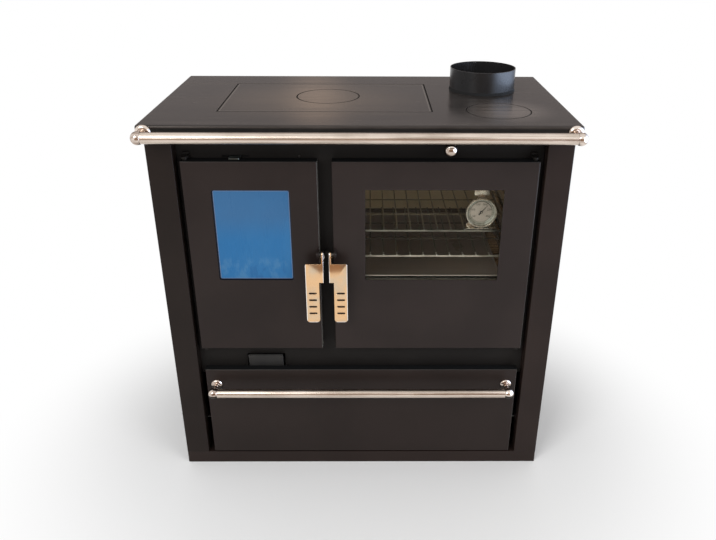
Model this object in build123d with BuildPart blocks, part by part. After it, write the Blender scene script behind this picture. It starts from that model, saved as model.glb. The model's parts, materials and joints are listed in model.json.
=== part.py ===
from build123d import *

import os
from math import atan2, cos, degrees, hypot, radians, sin

os.makedirs("parts", exist_ok=True)

# A wood-burning cookstove: firebox on the left, oven on the right, fuel drawer below, hob on top.
# Millimetres. +X to the right and +Y to the back as one faces the stove, +Z up.
# The origin is on the floor, in the middle of the plinth.

# ---------------------------------------------------------------- driving dimensions
# Cabinet
body_width = 840.0
body_depth = 450.0
plinth_height = 31.0
post_width = 52.0
face_recess = 30.0          # the front frame lies this far behind the posts' faces
casing_sheet = 2.0
frame_sheet = 3.0
back_sheet = 1.5
back_flange = 22.0
plinth_corner_radius = 2.0
post_edge_radius = 1.6
plinth_edge_radius = 1.0
base_drop = 22.0            # base plate's underside below the drawer front's top
base_sheet = 3.0
frame_lap = 4.0             # front frame below the base plate's underside
top_strip = 68.0            # fascia showing between the hob's underside and the doors
bottom_strip = 57.0         # frame showing between the drawer and the doors
louvre_rows = (90.0, 700.0)
louvre_slot = (38.0, 5.0)
louvre_grid = (60.0, 16.0)
louvre_count = (9, 3)
back_screw_radius = 4.0
back_screw_head = 2.4
back_screw_chamfer = 0.8
back_screw_margin = 11.0
back_screw_rows = 5

# Hob plate
hob_height = 835.0
hob_thickness = 8.0
rim_height = 30.0
rim_wall = 5.0
side_overhang = 10.0
front_overhang = 15.0
rear_overhang = 7.0
hob_corner_radius = 6.0
hob_edge_radius = 5.0
seat_width = 8.0            # ledge on which each loose hob piece sits
seat_thickness = 4.0
cast_gap = 1.2              # gap round each loose hob piece
cast_edge_radius = 0.8      # their rounded upper rims

# Loose hob pieces
insert_left = 137.0         # insert's edges, in from the plate's edges
insert_right = 284.0
insert_front = 109.5
insert_rear = 97.5
insert_corner_radius = 4.0
lid_radius = 68.5
lid_offset = (-0.3, 7.5)    # lid's centre, from the insert's
cover_radius = 66.0
cover_side = 146.5          # cover's centre, in from the plate's right edge
cover_front = 120.0         # and from its front edge

# Flue spigot
spigot_radius = 74.0
spigot_wall = 2.0
spigot_height = 50.0
spigot_foot = 1.5           # weld fillet where the spigot leaves the plate
spigot_foot_height = 5.0
spigot_side = 153.0         # spigot's centre, in from the plate's right edge
spigot_rear = 147.0         # and from its rear edge
weld_gap = 0.1

# Doors
door_edge_gap = 12.0        # between a door and its post
door_split = 29.0           # between the two doors
firebox_door_width = 270.0
door_depth = 24.0
door_sheet = 2.0
door_edge_radius = 2.5
window_sill = 172.0         # windows above the doors' bottom
window_head = 59.0          # and below their top
firebox_window_side = 56.0  # each window, in from its door's sides
oven_window_side = 66.5
firebox_window_radius = 5.0
oven_window_radius = 1.0
glass_thickness = 4.0
glass_lap = 14.0            # glass hidden behind the panel on each side
gasket_thickness = 1.5
gasket_width = 9.0
liner_sheet = 1.5
liner_margin = 4.0          # the liner's opening is this much larger than the window, on each side
liner_edge_gap = 0.3
stud_inset = 26.0
stud_radius = 2.5
stud_head_radius = 5.0
stud_head = 2.5
seal_inset = 10.0           # rope seal's centre line, in from the door's edges
seal_clearance = 0.3

# Hinges
hinge_inset = 8.0           # hinge axis, in from the door's outer edge
hinge_pin_radius = 4.0
hinge_bracket_sheet = 4.0
hinge_bracket_width = 12.0
hinge_bracket_height = 9.0
hinge_gap = 3.0             # between a door's end and its bracket
hinge_pin_reach = 12.0
hinge_block = 9.0           # half width of the block that each pin turns in
running_clearance = 0.05

# Lever handles
handle_standoff = 26.0      # between the door's face and the back of the handle plate
handle_sheet = 4.0
handle_top_drop = 14.0      # the plate's top, step and bottom below the pivot
handle_step_drop = 57.0
handle_bottom_drop = 152.0
handle_reach = 43.5         # outer edge, from the middle of the gap between the doors
handle_lower_reach = 15.5   # inner edge of the lower, narrower half
handle_corner_radius = 7.0  # lower corners
handle_upper_radius = 3.0   # upper outer corner
flange_inner = 6.0          # inner face of the folded flange, from the same middle
slot_count = 4
slot_pitch = 16.0
slot_height = 4.0
slot_top_drop = 82.0        # highest slot below the pivot
slot_margin = 5.5
pivot_standoff = 13.0       # pivot axis in front of the door's face
pivot_rise = 238.0          # pivot above the doors' bottom
pivot_pin_radius = 2.5
pivot_eye_radius = 7.0
eye_upper_angle = 125.0     # degrees round the eye at which the flange's edges meet it
eye_lower_angle = -70.0
pivot_collar_radius = 4.5
pivot_collar_gap = 0.3
pivot_head = 1.2
lug_offset = 15.5
lug_width = 4.0
latch_travel = 8.0          # degrees from rest to latched
keeper_reach = 9.0          # keeper pin's axis in front of the front frame
keeper_drop = 15.0          # keeper pin's axis below the pivot
keeper_pin_radius = 2.5
keeper_half_width = 4.0
keeper_half_height = 7.5
keeper_pin_reach = 10.5
hook_clearance = 0.5
hook_thickness = 4.4
hook_arm_depth = 9.0
hook_dip = 1.85             # between the keeper pin and the latched arm below it
hook_tip_rise = 1.8         # degrees that the latched hook's tip stands above the keeper pin's axis

# Front frame openings
mouth_inset = 20.0          # door openings, in from the doors' top and bottom
mouth_margin = 30.0         # and in from their sides

# Oven
oven_sill = 95.0            # oven floor above the doors' bottom
oven_rear_gap = 42.0        # between the oven's back and the cabinet's rear
oven_sheet = 2.0
oven_flange = 9.0
rack_count = 4              # rack levels
rack_foot = 48.0            # lowest level above the oven floor
rack_head = 91.0            # highest level below the oven's top
rack_wire_radius = 2.5
rack_bar_radius = 1.6
rack_bar_pitch = 28.8
rack_bar_sink = 0.5         # depth to which crossing wires are welded into each other
rack_front_gap = 22.0
rack_rear_gap = 73.0
rack_side_gap = 4.0
rack_corner_radius = 14.0
runner_sheet = 1.5
runner_ledge = 12.0
runner_margin = 20.0

# Firebox
casing_wall = 3.0
brick_thickness = 28.0
brick_head = 24.0           # bricks' top below the door opening's top
brick_gap = 0.5
brick_chamfer = 2.0
firebox_rear_gap = 55.0     # between the firebox's back and the cabinet's rear
ash_slot = 46.0             # air slot at the back of the ash floor
grate_rise = 100.0          # grate's top above the doors' bottom
grate_thickness = 14.0
grate_seat = 10.0
grate_frame_depth = 20.0
grate_border = 26.0
grate_slot_pitch = 17.0
grate_slot_width = 9.0
grate_clearance = 1.5
grate_ledge = 15.0
ash_pan_headroom = 5.0
ash_pan_sheet = 1.2
ash_pan_clearance = 5.0
ash_pan_rear_gap = 11.0     # between the ash pan and the air slot behind it
guard_height = 66.0
guard_margin = 13.0         # guard's slots, in from its top and bottom
guard_slot_width = 12.0
guard_thickness = 8.0
guard_slots = 5

# Flue chamber and damper
chamber_sheet = 2.0
chamber_side = 159.0        # chamber's left wall, to the left of the spigot's centre
chamber_margin = 14.0
damper_offset = 100.0       # damper's rod, to the left of the spigot's centre
damper_drop = 43.0          # and below the hob's underside
damper_travel = 60.0
damper_rod_radius = 4.0
damper_window = (84.0, 50.0)
damper_lap = 8.0
damper_sheet = 3.0
damper_gap = 0.3
knob_radius = 14.0
knob_neck_radius = 6.0
knob_offset = 30.0          # knob's centre in front of the fascia
knob_socket = 6.0
knob_gap = 0.8
boss_radius = 9.0
boss_depth = 4.0

# Secondary-air slider
slider_offset = 29.5        # tab's middle, to the left of the firebox's
slider_tab_width = 22.0
slider_tab_sheet = 2.5
slider_tab_length = 20.0
slider_travel = 15.0
slider_length = 150.0
slider_sheet = 2.0
slider_gap = 0.4
slider_slot_clearance = 1.0
slider_lift = 2.0           # tab's middle above the doors' top edge
guide_sheet = 2.0
guide_lip = 5.0
air_hole_radius = 5.0
air_hole_count = 5
air_hole_drop = 26.0        # hole row below the hob plate's underside

# Primary-air flap
flap_offset = 3.0           # flap's middle, to the right of the firebox's
flap_width = 78.0
flap_height = 39.0
flap_thickness = 4.0
flap_barrel_radius = 4.0
flap_pin_radius = 2.0
flap_frame_gap = 1.0
flap_rise = 12.0            # flap's pivot above the base plate
flap_ajar = 12.0            # degrees open at rest
flap_lug_width = 4.0
inlet_width = 86.0
inlet_rise = 10.0           # inlet's bottom above the base plate
inlet_drop = 32.0           # inlet's top below the doors

# Drawer
drawer_gap = 14.0           # between the drawer front and each post
drawer_floor_gap = 2.5
drawer_top = 268.0
drawer_front_depth = 18.0
drawer_front_sheet = 2.0
drawer_rear_gap = 62.0      # between the drawer box and the cabinet's rear
drawer_sheet = 1.5
drawer_headroom = 13.5      # between the drawer box and the base plate
drawer_box_lift = 4.0       # box floor above the drawer front's lower edge
drawer_side_gap = 22.0      # between the drawer box and each post's inner face
drawer_hem = 8.0
slide_height = 26.0
slide_rise = 87.5           # slides above the drawer box's floor
slide_width = 8.0
slide_clearance = 0.3
runner_rear_gap = 37.0

# Rails
top_rail_radius = 11.0
top_ball_radius = 13.0
top_ball_inset = 16.5       # ball's centre, in from the plate's side
top_rail_standoff = 38.0
top_rail_drop = 14.0
drawer_rail_radius = 10.0
drawer_ball_radius = 13.0
drawer_ball_inset = 23.0    # ball's centre, in from the drawer front's side
drawer_rail_standoff = 35.0
drawer_rail_drop = 40.0
stem_radius = 5.0
top_rosette_radius = 15.5
drawer_rosette_radius = 13.2
rosette_rim = 2.0
rosette_thickness = 5.0
rosette_lean = 0.4          # inward lean of the rosette's edge, for each millimetre forward
socket_gap = 0.3
socket_floor = 3.0          # the bar ends this far from the ball's centre

# Oven thermometer
dial_radius = 31.5
dial_side = 70.0            # dial's centre, in from the oven's right side
dial_rise = 40.0            # and above the upper rack
dial_sheet = 1.0
case_depth = 10.0
case_sheet = 1.5
lens_thickness = 1.5
needle_sheet = 0.6
needle_length = 25.0
needle_tail = 8.0
needle_width = 2.4
needle_angle = 40.0         # degrees to the right of straight up, at rest
spindle_radius = 1.2
hub_radius = 3.0
stand_width = 65.0
stand_waist = 50.0          # foot's width where it meets the case
stand_height = 9.0
stand_depth = 15.0
hook_tab_width = 32.0
hook_neck_width = 15.0
hook_neck_height = 6.0
hook_tab_height = 20.0
hook_tab_depth = 10.0

# ---------------------------------------------------------------- planes and places worked out from them
front = -body_depth / 2
rear = body_depth / 2
half_width = body_width / 2
post_inner = half_width - post_width
face = front + face_recess
frame_back = face + frame_sheet
back_inner = rear - back_sheet - casing_sheet
hob_underside = hob_height - hob_thickness
rim_bottom = hob_height - rim_height
hob_half_width = half_width + side_overhang
hob_front = front - front_overhang
hob_rear = rear + rear_overhang
base_height = drawer_top - base_drop
base_top = base_height + base_sheet
frame_bottom = base_height - frame_lap
door_bottom = drawer_top + bottom_strip
door_top = hob_underside - top_strip
window_bottom = door_bottom + window_sill
window_top = door_top - window_head

insert_width = 2 * hob_half_width - insert_left - insert_right
insert_depth = hob_rear - hob_front - insert_front - insert_rear
insert_x = -hob_half_width + insert_left + insert_width / 2
insert_y = hob_front + insert_front + insert_depth / 2
insert_centre = (insert_x, insert_y)
lid_centre = (insert_x + lid_offset[0], insert_y + lid_offset[1])
cover_centre = (hob_half_width - cover_side, hob_front + cover_front)
spigot_centre = (hob_half_width - spigot_side, hob_rear - spigot_rear)

door_outer = post_inner - door_edge_gap
firebox_door_right = -door_outer + firebox_door_width
gap_middle = firebox_door_right + door_split / 2
oven_door_left = firebox_door_right + door_split
door_back = front + door_depth
mouth_bottom = door_bottom + mouth_inset
mouth_top = door_top - mouth_inset
firebox_left = -door_outer + mouth_margin
firebox_right = firebox_door_right - mouth_margin
firebox_middle = (firebox_left + firebox_right) / 2
firebox_back = rear - firebox_rear_gap
firebox_depth = firebox_back - frame_back
casing_left = firebox_left - brick_thickness
casing_right = firebox_right + brick_thickness
casing_back = firebox_back + brick_thickness
oven_left = oven_door_left + mouth_margin
oven_right = door_outer - mouth_margin
oven_middle = (oven_left + oven_right) / 2
oven_back = rear - oven_rear_gap
oven_depth = oven_back - frame_back
oven_floor = door_bottom + oven_sill
firebox_window_x = (-door_outer + firebox_door_right) / 2
oven_window_x = (oven_door_left + door_outer) / 2
firebox_window_width = firebox_door_width - 2 * firebox_window_side
oven_window_width = door_outer - oven_door_left - 2 * oven_window_side

grate_height = door_bottom + grate_rise
brick_height = mouth_top - brick_head - grate_height
ash_pan_height = grate_height - grate_frame_depth - casing_wall - mouth_bottom - ash_pan_headroom
ash_pan_depth = firebox_depth - ash_slot - ash_pan_clearance - ash_pan_rear_gap
rack_pitch = (mouth_top - oven_floor - rack_foot - rack_head) / (rack_count - 1)
rack_levels = [oven_floor + rack_foot + rack_pitch * step for step in range(rack_count)]
rack_depth = oven_depth - rack_front_gap - rack_rear_gap

pivot_height = door_bottom + pivot_rise
pivot_y = front - pivot_standoff
keeper_y = face - keeper_reach
keeper_z = pivot_height - keeper_drop
slider_x = firebox_middle - slider_offset
slider_z = door_top + slider_lift
flap_x = firebox_middle + flap_offset
flap_pivot_height = base_top + flap_rise
inlet_bottom = base_top + inlet_rise
inlet_top = door_bottom - inlet_drop
damper_x = spigot_centre[0] - damper_offset
damper_height = hob_underside - damper_drop
spigot_top = hob_height + spigot_height
hinge_y = front + door_depth / 2
flap_y = face - flap_thickness - flap_frame_gap
top_rail_z = hob_height - top_rail_drop
drawer_front_bottom = plinth_height + drawer_floor_gap


def front_plane(y):
    """A sketch plane that faces the front, at depth y. Its axes are X and Z."""
    return Plane.XZ.offset(-y)


def side_plane(x):
    """A sketch plane that faces right, at x. Its axes are Y and Z."""
    return Plane.YZ.offset(x)


def patch(u0, u1, v0, v1, mode=Mode.ADD):
    """A rectangle between two pairs of edges, in the sketch that is open."""
    with Locations(((u0 + u1) / 2, (v0 + v1) / 2)):
        Rectangle(abs(u1 - u0), abs(v1 - v0), mode=mode)


def write(part, name):
    """Labels one finished piece and writes it."""
    part.label = name
    export_step(part, f"parts/{name}.step")


# ---------------------------------------------------------------- plinth, casings, base plate and back
with BuildPart() as plinth:
    with BuildSketch(Plane.XY):
        Rectangle(body_width, body_depth)
    extrude(amount=plinth_height)
    fillet(plinth.edges().filter_by(Axis.Z), plinth_corner_radius)
    fillet(plinth.edges().group_by(Axis.Z)[-1], plinth_edge_radius)
    with BuildSketch(Plane.XY.offset(casing_sheet)):
        Rectangle(body_width - 2 * casing_sheet, body_depth - 2 * casing_sheet)
    extrude(amount=plinth_height - 2 * casing_sheet, mode=Mode.SUBTRACT)
    with BuildSketch(Plane.XY.offset(plinth_height - casing_sheet)):
        Rectangle(body_width - 2 * post_width, body_depth - 2 * post_width)
    extrude(amount=casing_sheet, mode=Mode.SUBTRACT)
write(plinth.part, "plinth")


def side_casing(side):
    """A side wall, folded in at the front as the post and back to the frame, and folded in at the rear."""
    wall = side * half_width
    post = side * post_inner
    with BuildPart() as casing:
        with BuildSketch(Plane.XY.offset(plinth_height)):
            patch(wall - side * casing_sheet, wall, front, back_inner + casing_sheet)
            patch(post, wall, front, front + casing_sheet)
            patch(post, post + side * casing_sheet, front, frame_back)
            patch(wall - side * back_flange, wall, back_inner, back_inner + casing_sheet)
        extrude(amount=hob_underside - plinth_height)
        fillet(casing.edges().filter_by(Axis.Z).group_by(Axis.Y)[0], post_edge_radius)
    return casing.part


write(side_casing(-1), "side_panel_left")
write(side_casing(1), "side_panel_right")

with BuildPart() as base_plate:
    with BuildSketch(Plane.XY.offset(base_height)):
        patch(-half_width + casing_sheet, half_width - casing_sheet, frame_back, back_inner)
    extrude(amount=base_sheet)
write(base_plate.part, "base_plate")

with BuildPart() as back_panel:
    with BuildSketch(front_plane(rear)):
        patch(-half_width, half_width, plinth_height, hob_underside)
        with Locations(*[(0, row) for row in louvre_rows]):
            with GridLocations(louvre_grid[0], louvre_grid[1], louvre_count[0], louvre_count[1]):
                SlotOverall(louvre_slot[0], louvre_slot[1], mode=Mode.SUBTRACT)
    extrude(amount=back_sheet)
write(back_panel.part, "back_panel")

with BuildPart() as back_screws:
    screw_low = plinth_height + 2 * back_screw_margin
    screw_high = rim_bottom - 2 * back_screw_margin
    with BuildSketch(front_plane(rear + back_screw_head)):
        with Locations((0, (screw_low + screw_high) / 2)):
            with GridLocations(body_width - 2 * back_screw_margin,
                               (screw_high - screw_low) / (back_screw_rows - 1), 2, back_screw_rows):
                Circle(back_screw_radius)
    extrude(amount=back_screw_head)
    chamfer(back_screws.faces().group_by(Axis.Y)[-1].edges(), back_screw_chamfer)
write(back_screws.part, "back_panel_screws")

# ---------------------------------------------------------------- front frame
guide_top = hob_underside - guide_sheet - slider_gap
guide_bottom = slider_z - slider_tab_sheet / 2 - slider_slot_clearance - guide_lip
guide_depth = slider_sheet + 2 * slider_gap + guide_sheet
guide_half = slider_length / 2 + slider_travel
boss_bore = damper_rod_radius + running_clearance

with BuildPart() as front_frame:
    with BuildSketch(front_plane(frame_back)):
        patch(-post_inner, post_inner, frame_bottom, hob_underside)
        patch(firebox_left, firebox_right, mouth_bottom, mouth_top, mode=Mode.SUBTRACT)
        patch(oven_left, oven_right, oven_floor, mouth_top, mode=Mode.SUBTRACT)
        patch(flap_x - inlet_width / 2, flap_x + inlet_width / 2, inlet_bottom, inlet_top,
              mode=Mode.SUBTRACT)
        slot_half = slider_tab_width / 2 + slider_travel + slider_slot_clearance
        slot_rise = slider_tab_sheet / 2 + slider_slot_clearance
        patch(slider_x - slot_half, slider_x + slot_half, slider_z - slot_rise, slider_z + slot_rise,
              mode=Mode.SUBTRACT)
        with Locations((slider_x, hob_underside - air_hole_drop)):
            with GridLocations(2 * slider_travel, 1, air_hole_count, 1):
                Circle(air_hole_radius, mode=Mode.SUBTRACT)
    extrude(amount=frame_sheet)
    # a boss carries the damper's rod
    with BuildSketch(front_plane(face)):
        with Locations((damper_x, damper_height)):
            Circle(boss_radius)
    extrude(amount=boss_depth)
    with BuildSketch(front_plane(frame_back)):
        with Locations((damper_x, damper_height)):
            Circle(boss_bore)
    extrude(amount=frame_sheet + boss_depth, mode=Mode.SUBTRACT)
    # two hooked guides behind the fascia carry the slider
    for edge, inward in ((guide_top, -1), (guide_bottom, 1)):
        with BuildSketch(side_plane(slider_x - guide_half)):
            patch(frame_back, frame_back + guide_depth, edge, edge - inward * guide_sheet)
            patch(frame_back + guide_depth - guide_sheet, frame_back + guide_depth,
                  edge - inward * guide_sheet, edge + inward * guide_lip)
        extrude(amount=2 * guide_half)
    # two lugs hold the flap's pin
    for lug_side in (-1, 1):
        lug_near = flap_x + lug_side * inlet_width / 2
        with BuildSketch(side_plane(lug_near)):
            with Locations((flap_y, flap_pivot_height)):
                Circle(flap_barrel_radius)
            patch(flap_y, face, flap_pivot_height - flap_barrel_radius,
                  flap_pivot_height + flap_barrel_radius)
            with Locations((flap_y, flap_pivot_height)):
                Circle(flap_pin_radius + weld_gap, mode=Mode.SUBTRACT)
        extrude(amount=lug_side * flap_lug_width)
write(front_frame.part, "front_frame")

# ---------------------------------------------------------------- hob plate and its loose pieces
hob_middle = (hob_front + hob_rear) / 2
hob_depth = hob_rear - hob_front

with BuildPart() as hob_plate:
    with BuildSketch(Plane.XY.offset(rim_bottom)):
        with Locations((0, hob_middle)):
            RectangleRounded(2 * hob_half_width, hob_depth, hob_corner_radius)
    extrude(amount=rim_height)
    fillet(hob_plate.edges().group_by(Axis.Z)[-1], hob_edge_radius)
    with BuildSketch(Plane.XY.offset(rim_bottom)):
        with Locations((0, hob_middle)):
            RectangleRounded(2 * (hob_half_width - rim_wall), hob_depth - 2 * rim_wall,
                             hob_corner_radius - rim_wall)
    extrude(amount=rim_height - hob_thickness, mode=Mode.SUBTRACT)
    # each loose piece has a hole and, above it, a wider rebate for its edge
    for height, inset in ((hob_underside, seat_width), (hob_height - seat_thickness, -cast_gap)):
        with BuildSketch(Plane.XY.offset(height)):
            with Locations(insert_centre):
                RectangleRounded(insert_width - 2 * inset, insert_depth - 2 * inset, insert_corner_radius)
            with Locations(cover_centre):
                Circle(cover_radius - inset)
        extrude(amount=hob_thickness, mode=Mode.SUBTRACT)
    with BuildSketch(Plane.XY.offset(hob_underside)):
        with Locations(spigot_centre):
            Circle(spigot_radius + weld_gap)
    extrude(amount=hob_thickness, mode=Mode.SUBTRACT)
write(hob_plate.part, "hob_plate")

with BuildPart() as hob_insert:
    with BuildSketch(Plane.XY.offset(hob_height - seat_thickness)):
        with Locations(insert_centre):
            RectangleRounded(insert_width, insert_depth, insert_corner_radius)
    extrude(amount=seat_thickness)
    fillet(hob_insert.edges().group_by(Axis.Z)[-1], cast_edge_radius)
    inner_cut = 2 * (seat_width + cast_gap)
    with BuildSketch(Plane.XY.offset(hob_underside)):
        with Locations(insert_centre):
            RectangleRounded(insert_width - inner_cut, insert_depth - inner_cut, insert_corner_radius)
    extrude(amount=hob_thickness - seat_thickness)
    for height, inset in ((hob_underside, seat_width), (hob_height - seat_thickness, -cast_gap)):
        with BuildSketch(Plane.XY.offset(height)):
            with Locations(lid_centre):
                Circle(lid_radius - inset)
        extrude(amount=hob_thickness, mode=Mode.SUBTRACT)
write(hob_insert.part, "hob_insert")


def round_lid(centre, radius):
    """A stepped cast lid, whose wider upper half rests on the ledge round its hole."""
    with BuildPart() as lid:
        with BuildSketch(Plane.XY.offset(hob_height - seat_thickness)):
            with Locations(centre):
                Circle(radius)
        extrude(amount=seat_thickness)
        fillet(lid.edges().group_by(Axis.Z)[-1], cast_edge_radius)
        with BuildSketch(Plane.XY.offset(hob_underside)):
            with Locations(centre):
                Circle(radius - seat_width - cast_gap)
        extrude(amount=hob_thickness - seat_thickness)
    return lid.part


write(round_lid(lid_centre, lid_radius), "hob_lid")
write(round_lid(cover_centre, cover_radius), "cleaning_cover")

with BuildPart() as flue_spigot:
    with BuildSketch(Plane.XZ.offset(-spigot_centre[1])):
        with BuildLine():
            inner = spigot_centre[0] + spigot_radius - spigot_wall
            outer = spigot_centre[0] + spigot_radius
            Polyline(
                (inner, hob_underside), (outer, hob_underside), (outer, hob_height),
                (outer + spigot_foot, hob_height), (outer, hob_height + spigot_foot_height),
                (outer, spigot_top), (inner, spigot_top), (inner, hob_underside),
            )
        make_face()
    revolve(axis=Axis((spigot_centre[0], spigot_centre[1], 0), (0, 0, 1)))
write(flue_spigot.part, "flue_spigot")

# ---------------------------------------------------------------- oven
with BuildPart() as oven_box:
    with BuildSketch(front_plane(oven_back + oven_sheet)):
        patch(oven_left - oven_sheet, oven_right + oven_sheet, oven_floor - oven_sheet,
              mouth_top + oven_sheet)
    extrude(amount=oven_depth + oven_sheet)
    with BuildSketch(front_plane(frame_back + oven_sheet)):
        patch(oven_left - oven_flange, oven_right + oven_flange, oven_floor - oven_flange,
              mouth_top + oven_flange)
    extrude(amount=oven_sheet)
    with BuildSketch(front_plane(oven_back)):
        patch(oven_left, oven_right, oven_floor, mouth_top)
    extrude(amount=oven_depth, mode=Mode.SUBTRACT)
write(oven_box.part, "oven_box")

runner_back = frame_back + rack_front_gap + rack_depth
with BuildPart() as rack_runners:
    for side, wall in ((1, oven_left), (-1, oven_right)):
        with BuildSketch(front_plane(runner_back)):
            patch(wall, wall + side * runner_sheet, rack_levels[0] - runner_margin,
                  rack_levels[-1] + runner_margin)
            for level in rack_levels:
                ledge = level - rack_wire_radius
                patch(wall, wall + side * runner_ledge, ledge - runner_sheet, ledge)
        extrude(amount=rack_depth)
write(rack_runners.part, "rack_runners")


def rack(level):
    """A wire rack: a round-cornered loop, bars laid on it from front to back, two cross wires below."""
    width = oven_right - oven_left - 2 * (runner_sheet + rack_side_gap)
    loop_width = width - 2 * rack_wire_radius
    loop_depth = rack_depth - 2 * rack_wire_radius
    middle_y = frame_back + rack_front_gap + loop_depth / 2
    bars = int((loop_width - rack_bar_pitch) // rack_bar_pitch)
    bar_level = level + rack_wire_radius + rack_bar_radius - rack_bar_sink
    cross_level = bar_level - 2 * rack_bar_radius + rack_bar_sink
    with BuildPart() as wire_rack:
        with BuildLine(Plane.XY.offset(level)) as loop:
            Polyline(
                (oven_middle - loop_width / 2, middle_y - loop_depth / 2),
                (oven_middle + loop_width / 2, middle_y - loop_depth / 2),
                (oven_middle + loop_width / 2, middle_y + loop_depth / 2),
                (oven_middle - loop_width / 2, middle_y + loop_depth / 2),
                close=True,
            )
            fillet(loop.vertices(), rack_corner_radius)
        with BuildSketch(Plane(loop.line @ 0, z_dir=loop.line % 0)):
            Circle(rack_wire_radius)
        sweep(path=loop.line)
        with BuildSketch(front_plane(middle_y + rack_depth / 2)):
            with Locations((oven_middle, bar_level)):
                with GridLocations(rack_bar_pitch, 1, bars, 1):
                    Circle(rack_bar_radius)
        extrude(amount=rack_depth)
        with BuildSketch(side_plane(oven_middle - loop_width / 2)):
            with Locations((middle_y, cross_level)):
                with GridLocations(loop_depth / 3, 1, 2, 1):
                    Circle(rack_bar_radius)
        extrude(amount=loop_width)
    return wire_rack.part


write(rack(rack_levels[1]), "lower_rack")
write(rack(rack_levels[2]), "upper_rack")

# ---------------------------------------------------------------- oven thermometer, on the upper rack
dial_x = oven_right - dial_side
dial_height = rack_levels[2] + dial_rise
stand_foot = rack_levels[2] + rack_wire_radius + 2 * rack_bar_radius - rack_bar_sink
case_back = frame_back + rack_front_gap + stand_depth - rack_wire_radius
case_front = case_back - case_depth
dial_plane = case_back - case_sheet
dial_front = dial_plane - dial_sheet
case_radius = dial_radius + case_sheet + weld_gap
lens_plane = case_front + lens_thickness
needle_plane = (dial_front + lens_plane) / 2

with BuildPart() as thermometer_case:
    with BuildSketch(front_plane(case_back)):
        with Locations((dial_x, dial_height)):
            Circle(case_radius)
    extrude(amount=case_depth)
    with BuildSketch(front_plane(dial_plane)):
        with Locations((dial_x, dial_height)):
            Circle(case_radius - case_sheet)
    extrude(amount=case_depth, mode=Mode.SUBTRACT)
    # a strip behind the case ends in a foot below and a hook above
    neck_top = dial_height + case_radius + hook_neck_height
    tab_top = dial_height + case_radius + hook_tab_height
    with BuildSketch(front_plane(case_back + case_sheet)):
        patch(dial_x - hook_neck_width / 2, dial_x + hook_neck_width / 2, stand_foot, neck_top)
        patch(dial_x - hook_tab_width / 2, dial_x + hook_tab_width / 2, neck_top, tab_top)
        Polygon(
            (dial_x - stand_width / 2, stand_foot), (dial_x + stand_width / 2, stand_foot),
            (dial_x + stand_waist / 2, stand_foot + stand_height),
            (dial_x - stand_waist / 2, stand_foot + stand_height), align=None,
        )
    extrude(amount=case_sheet)
    with BuildSketch(Plane.XY.offset(stand_foot)):
        patch(dial_x - stand_width / 2, dial_x + stand_width / 2, case_back - stand_depth, case_back)
    extrude(amount=case_sheet)
    with BuildSketch(Plane.XY.offset(tab_top - case_sheet)):
        patch(dial_x - hook_tab_width / 2, dial_x + hook_tab_width / 2, case_back,
              case_back + hook_tab_depth)
    extrude(amount=case_sheet)
write(thermometer_case.part, "thermometer_case")

with BuildPart() as thermometer_dial:
    with BuildSketch(front_plane(dial_plane)):
        with Locations((dial_x, dial_height)):
            Circle(dial_radius)
    extrude(amount=dial_sheet)
    with BuildSketch(front_plane(dial_front)):
        with Locations((dial_x, dial_height)):
            Circle(spindle_radius)
    extrude(amount=dial_front - lens_plane - needle_sheet)
write(thermometer_dial.part, "thermometer_dial")

with BuildPart() as thermometer_lens:
    with BuildSketch(front_plane(lens_plane)):
        with Locations((dial_x, dial_height)):
            Circle(dial_radius)
    extrude(amount=lens_thickness)
write(thermometer_lens.part, "thermometer_lens")

with BuildPart() as thermometer_needle:
    with BuildSketch(front_plane(needle_plane)):
        with Locations(Location((dial_x, dial_height, 0), -needle_angle)):
            Polygon((-needle_width / 2, -needle_tail), (needle_width / 2, -needle_tail), (0, needle_length),
                    align=None)
            Circle(hub_radius)
            Circle(spindle_radius + running_clearance, mode=Mode.SUBTRACT)
    extrude(amount=needle_sheet)
write(thermometer_needle.part, "thermometer_needle")

# ---------------------------------------------------------------- firebox
with BuildPart() as firebox_casing:
    with BuildSketch(Plane.XY.offset(base_top)):
        patch(casing_left - casing_wall, casing_left, frame_back, casing_back)
        patch(casing_left - casing_wall, casing_right + casing_wall, casing_back, casing_back + casing_wall)
    extrude(amount=hob_underside - base_top)
    # the wall next to the oven stops at the oven's top, where the smoke passes over
    with BuildSketch(Plane.XY.offset(base_top)):
        patch(casing_right, casing_right + casing_wall, frame_back, casing_back)
    extrude(amount=mouth_top + oven_sheet - base_top)
    with BuildSketch(Plane.XY.offset(mouth_bottom - casing_wall)):
        patch(casing_left, casing_right, frame_back, casing_back)
        patch(firebox_left, firebox_right, firebox_back - ash_slot, firebox_back, mode=Mode.SUBTRACT)
    extrude(amount=casing_wall)
    # ledges carry the grate frame
    with BuildSketch(Plane.XY.offset(grate_height - grate_frame_depth - casing_wall)):
        patch(casing_left, casing_left + grate_ledge, frame_back, casing_back)
        patch(casing_right - grate_ledge, casing_right, frame_back, casing_back)
    extrude(amount=casing_wall)
write(firebox_casing.part, "firebox_casing")

with BuildPart() as firebricks:
    with BuildSketch(Plane.XY.offset(grate_height)):
        patch(casing_left, firebox_left, frame_back + brick_gap, firebox_back - brick_gap)
        patch(firebox_right, casing_right, frame_back + brick_gap, firebox_back - brick_gap)
    extrude(amount=brick_height)
    chamfer(firebricks.edges().group_by(Axis.Z)[-1], brick_chamfer)
write(firebricks.part, "firebricks_side")

with BuildPart() as firebrick_rear:
    with BuildSketch(Plane.XY.offset(grate_height)):
        patch(casing_left, casing_right, firebox_back, casing_back)
    extrude(amount=brick_height)
    chamfer(firebrick_rear.edges().group_by(Axis.Z)[-1], brick_chamfer)
write(firebrick_rear.part, "firebrick_rear")

grate_width = firebox_right - firebox_left - 2 * grate_border
grate_depth = firebox_depth - 2 * grate_border
grate_middle_y = frame_back + firebox_depth / 2

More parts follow.
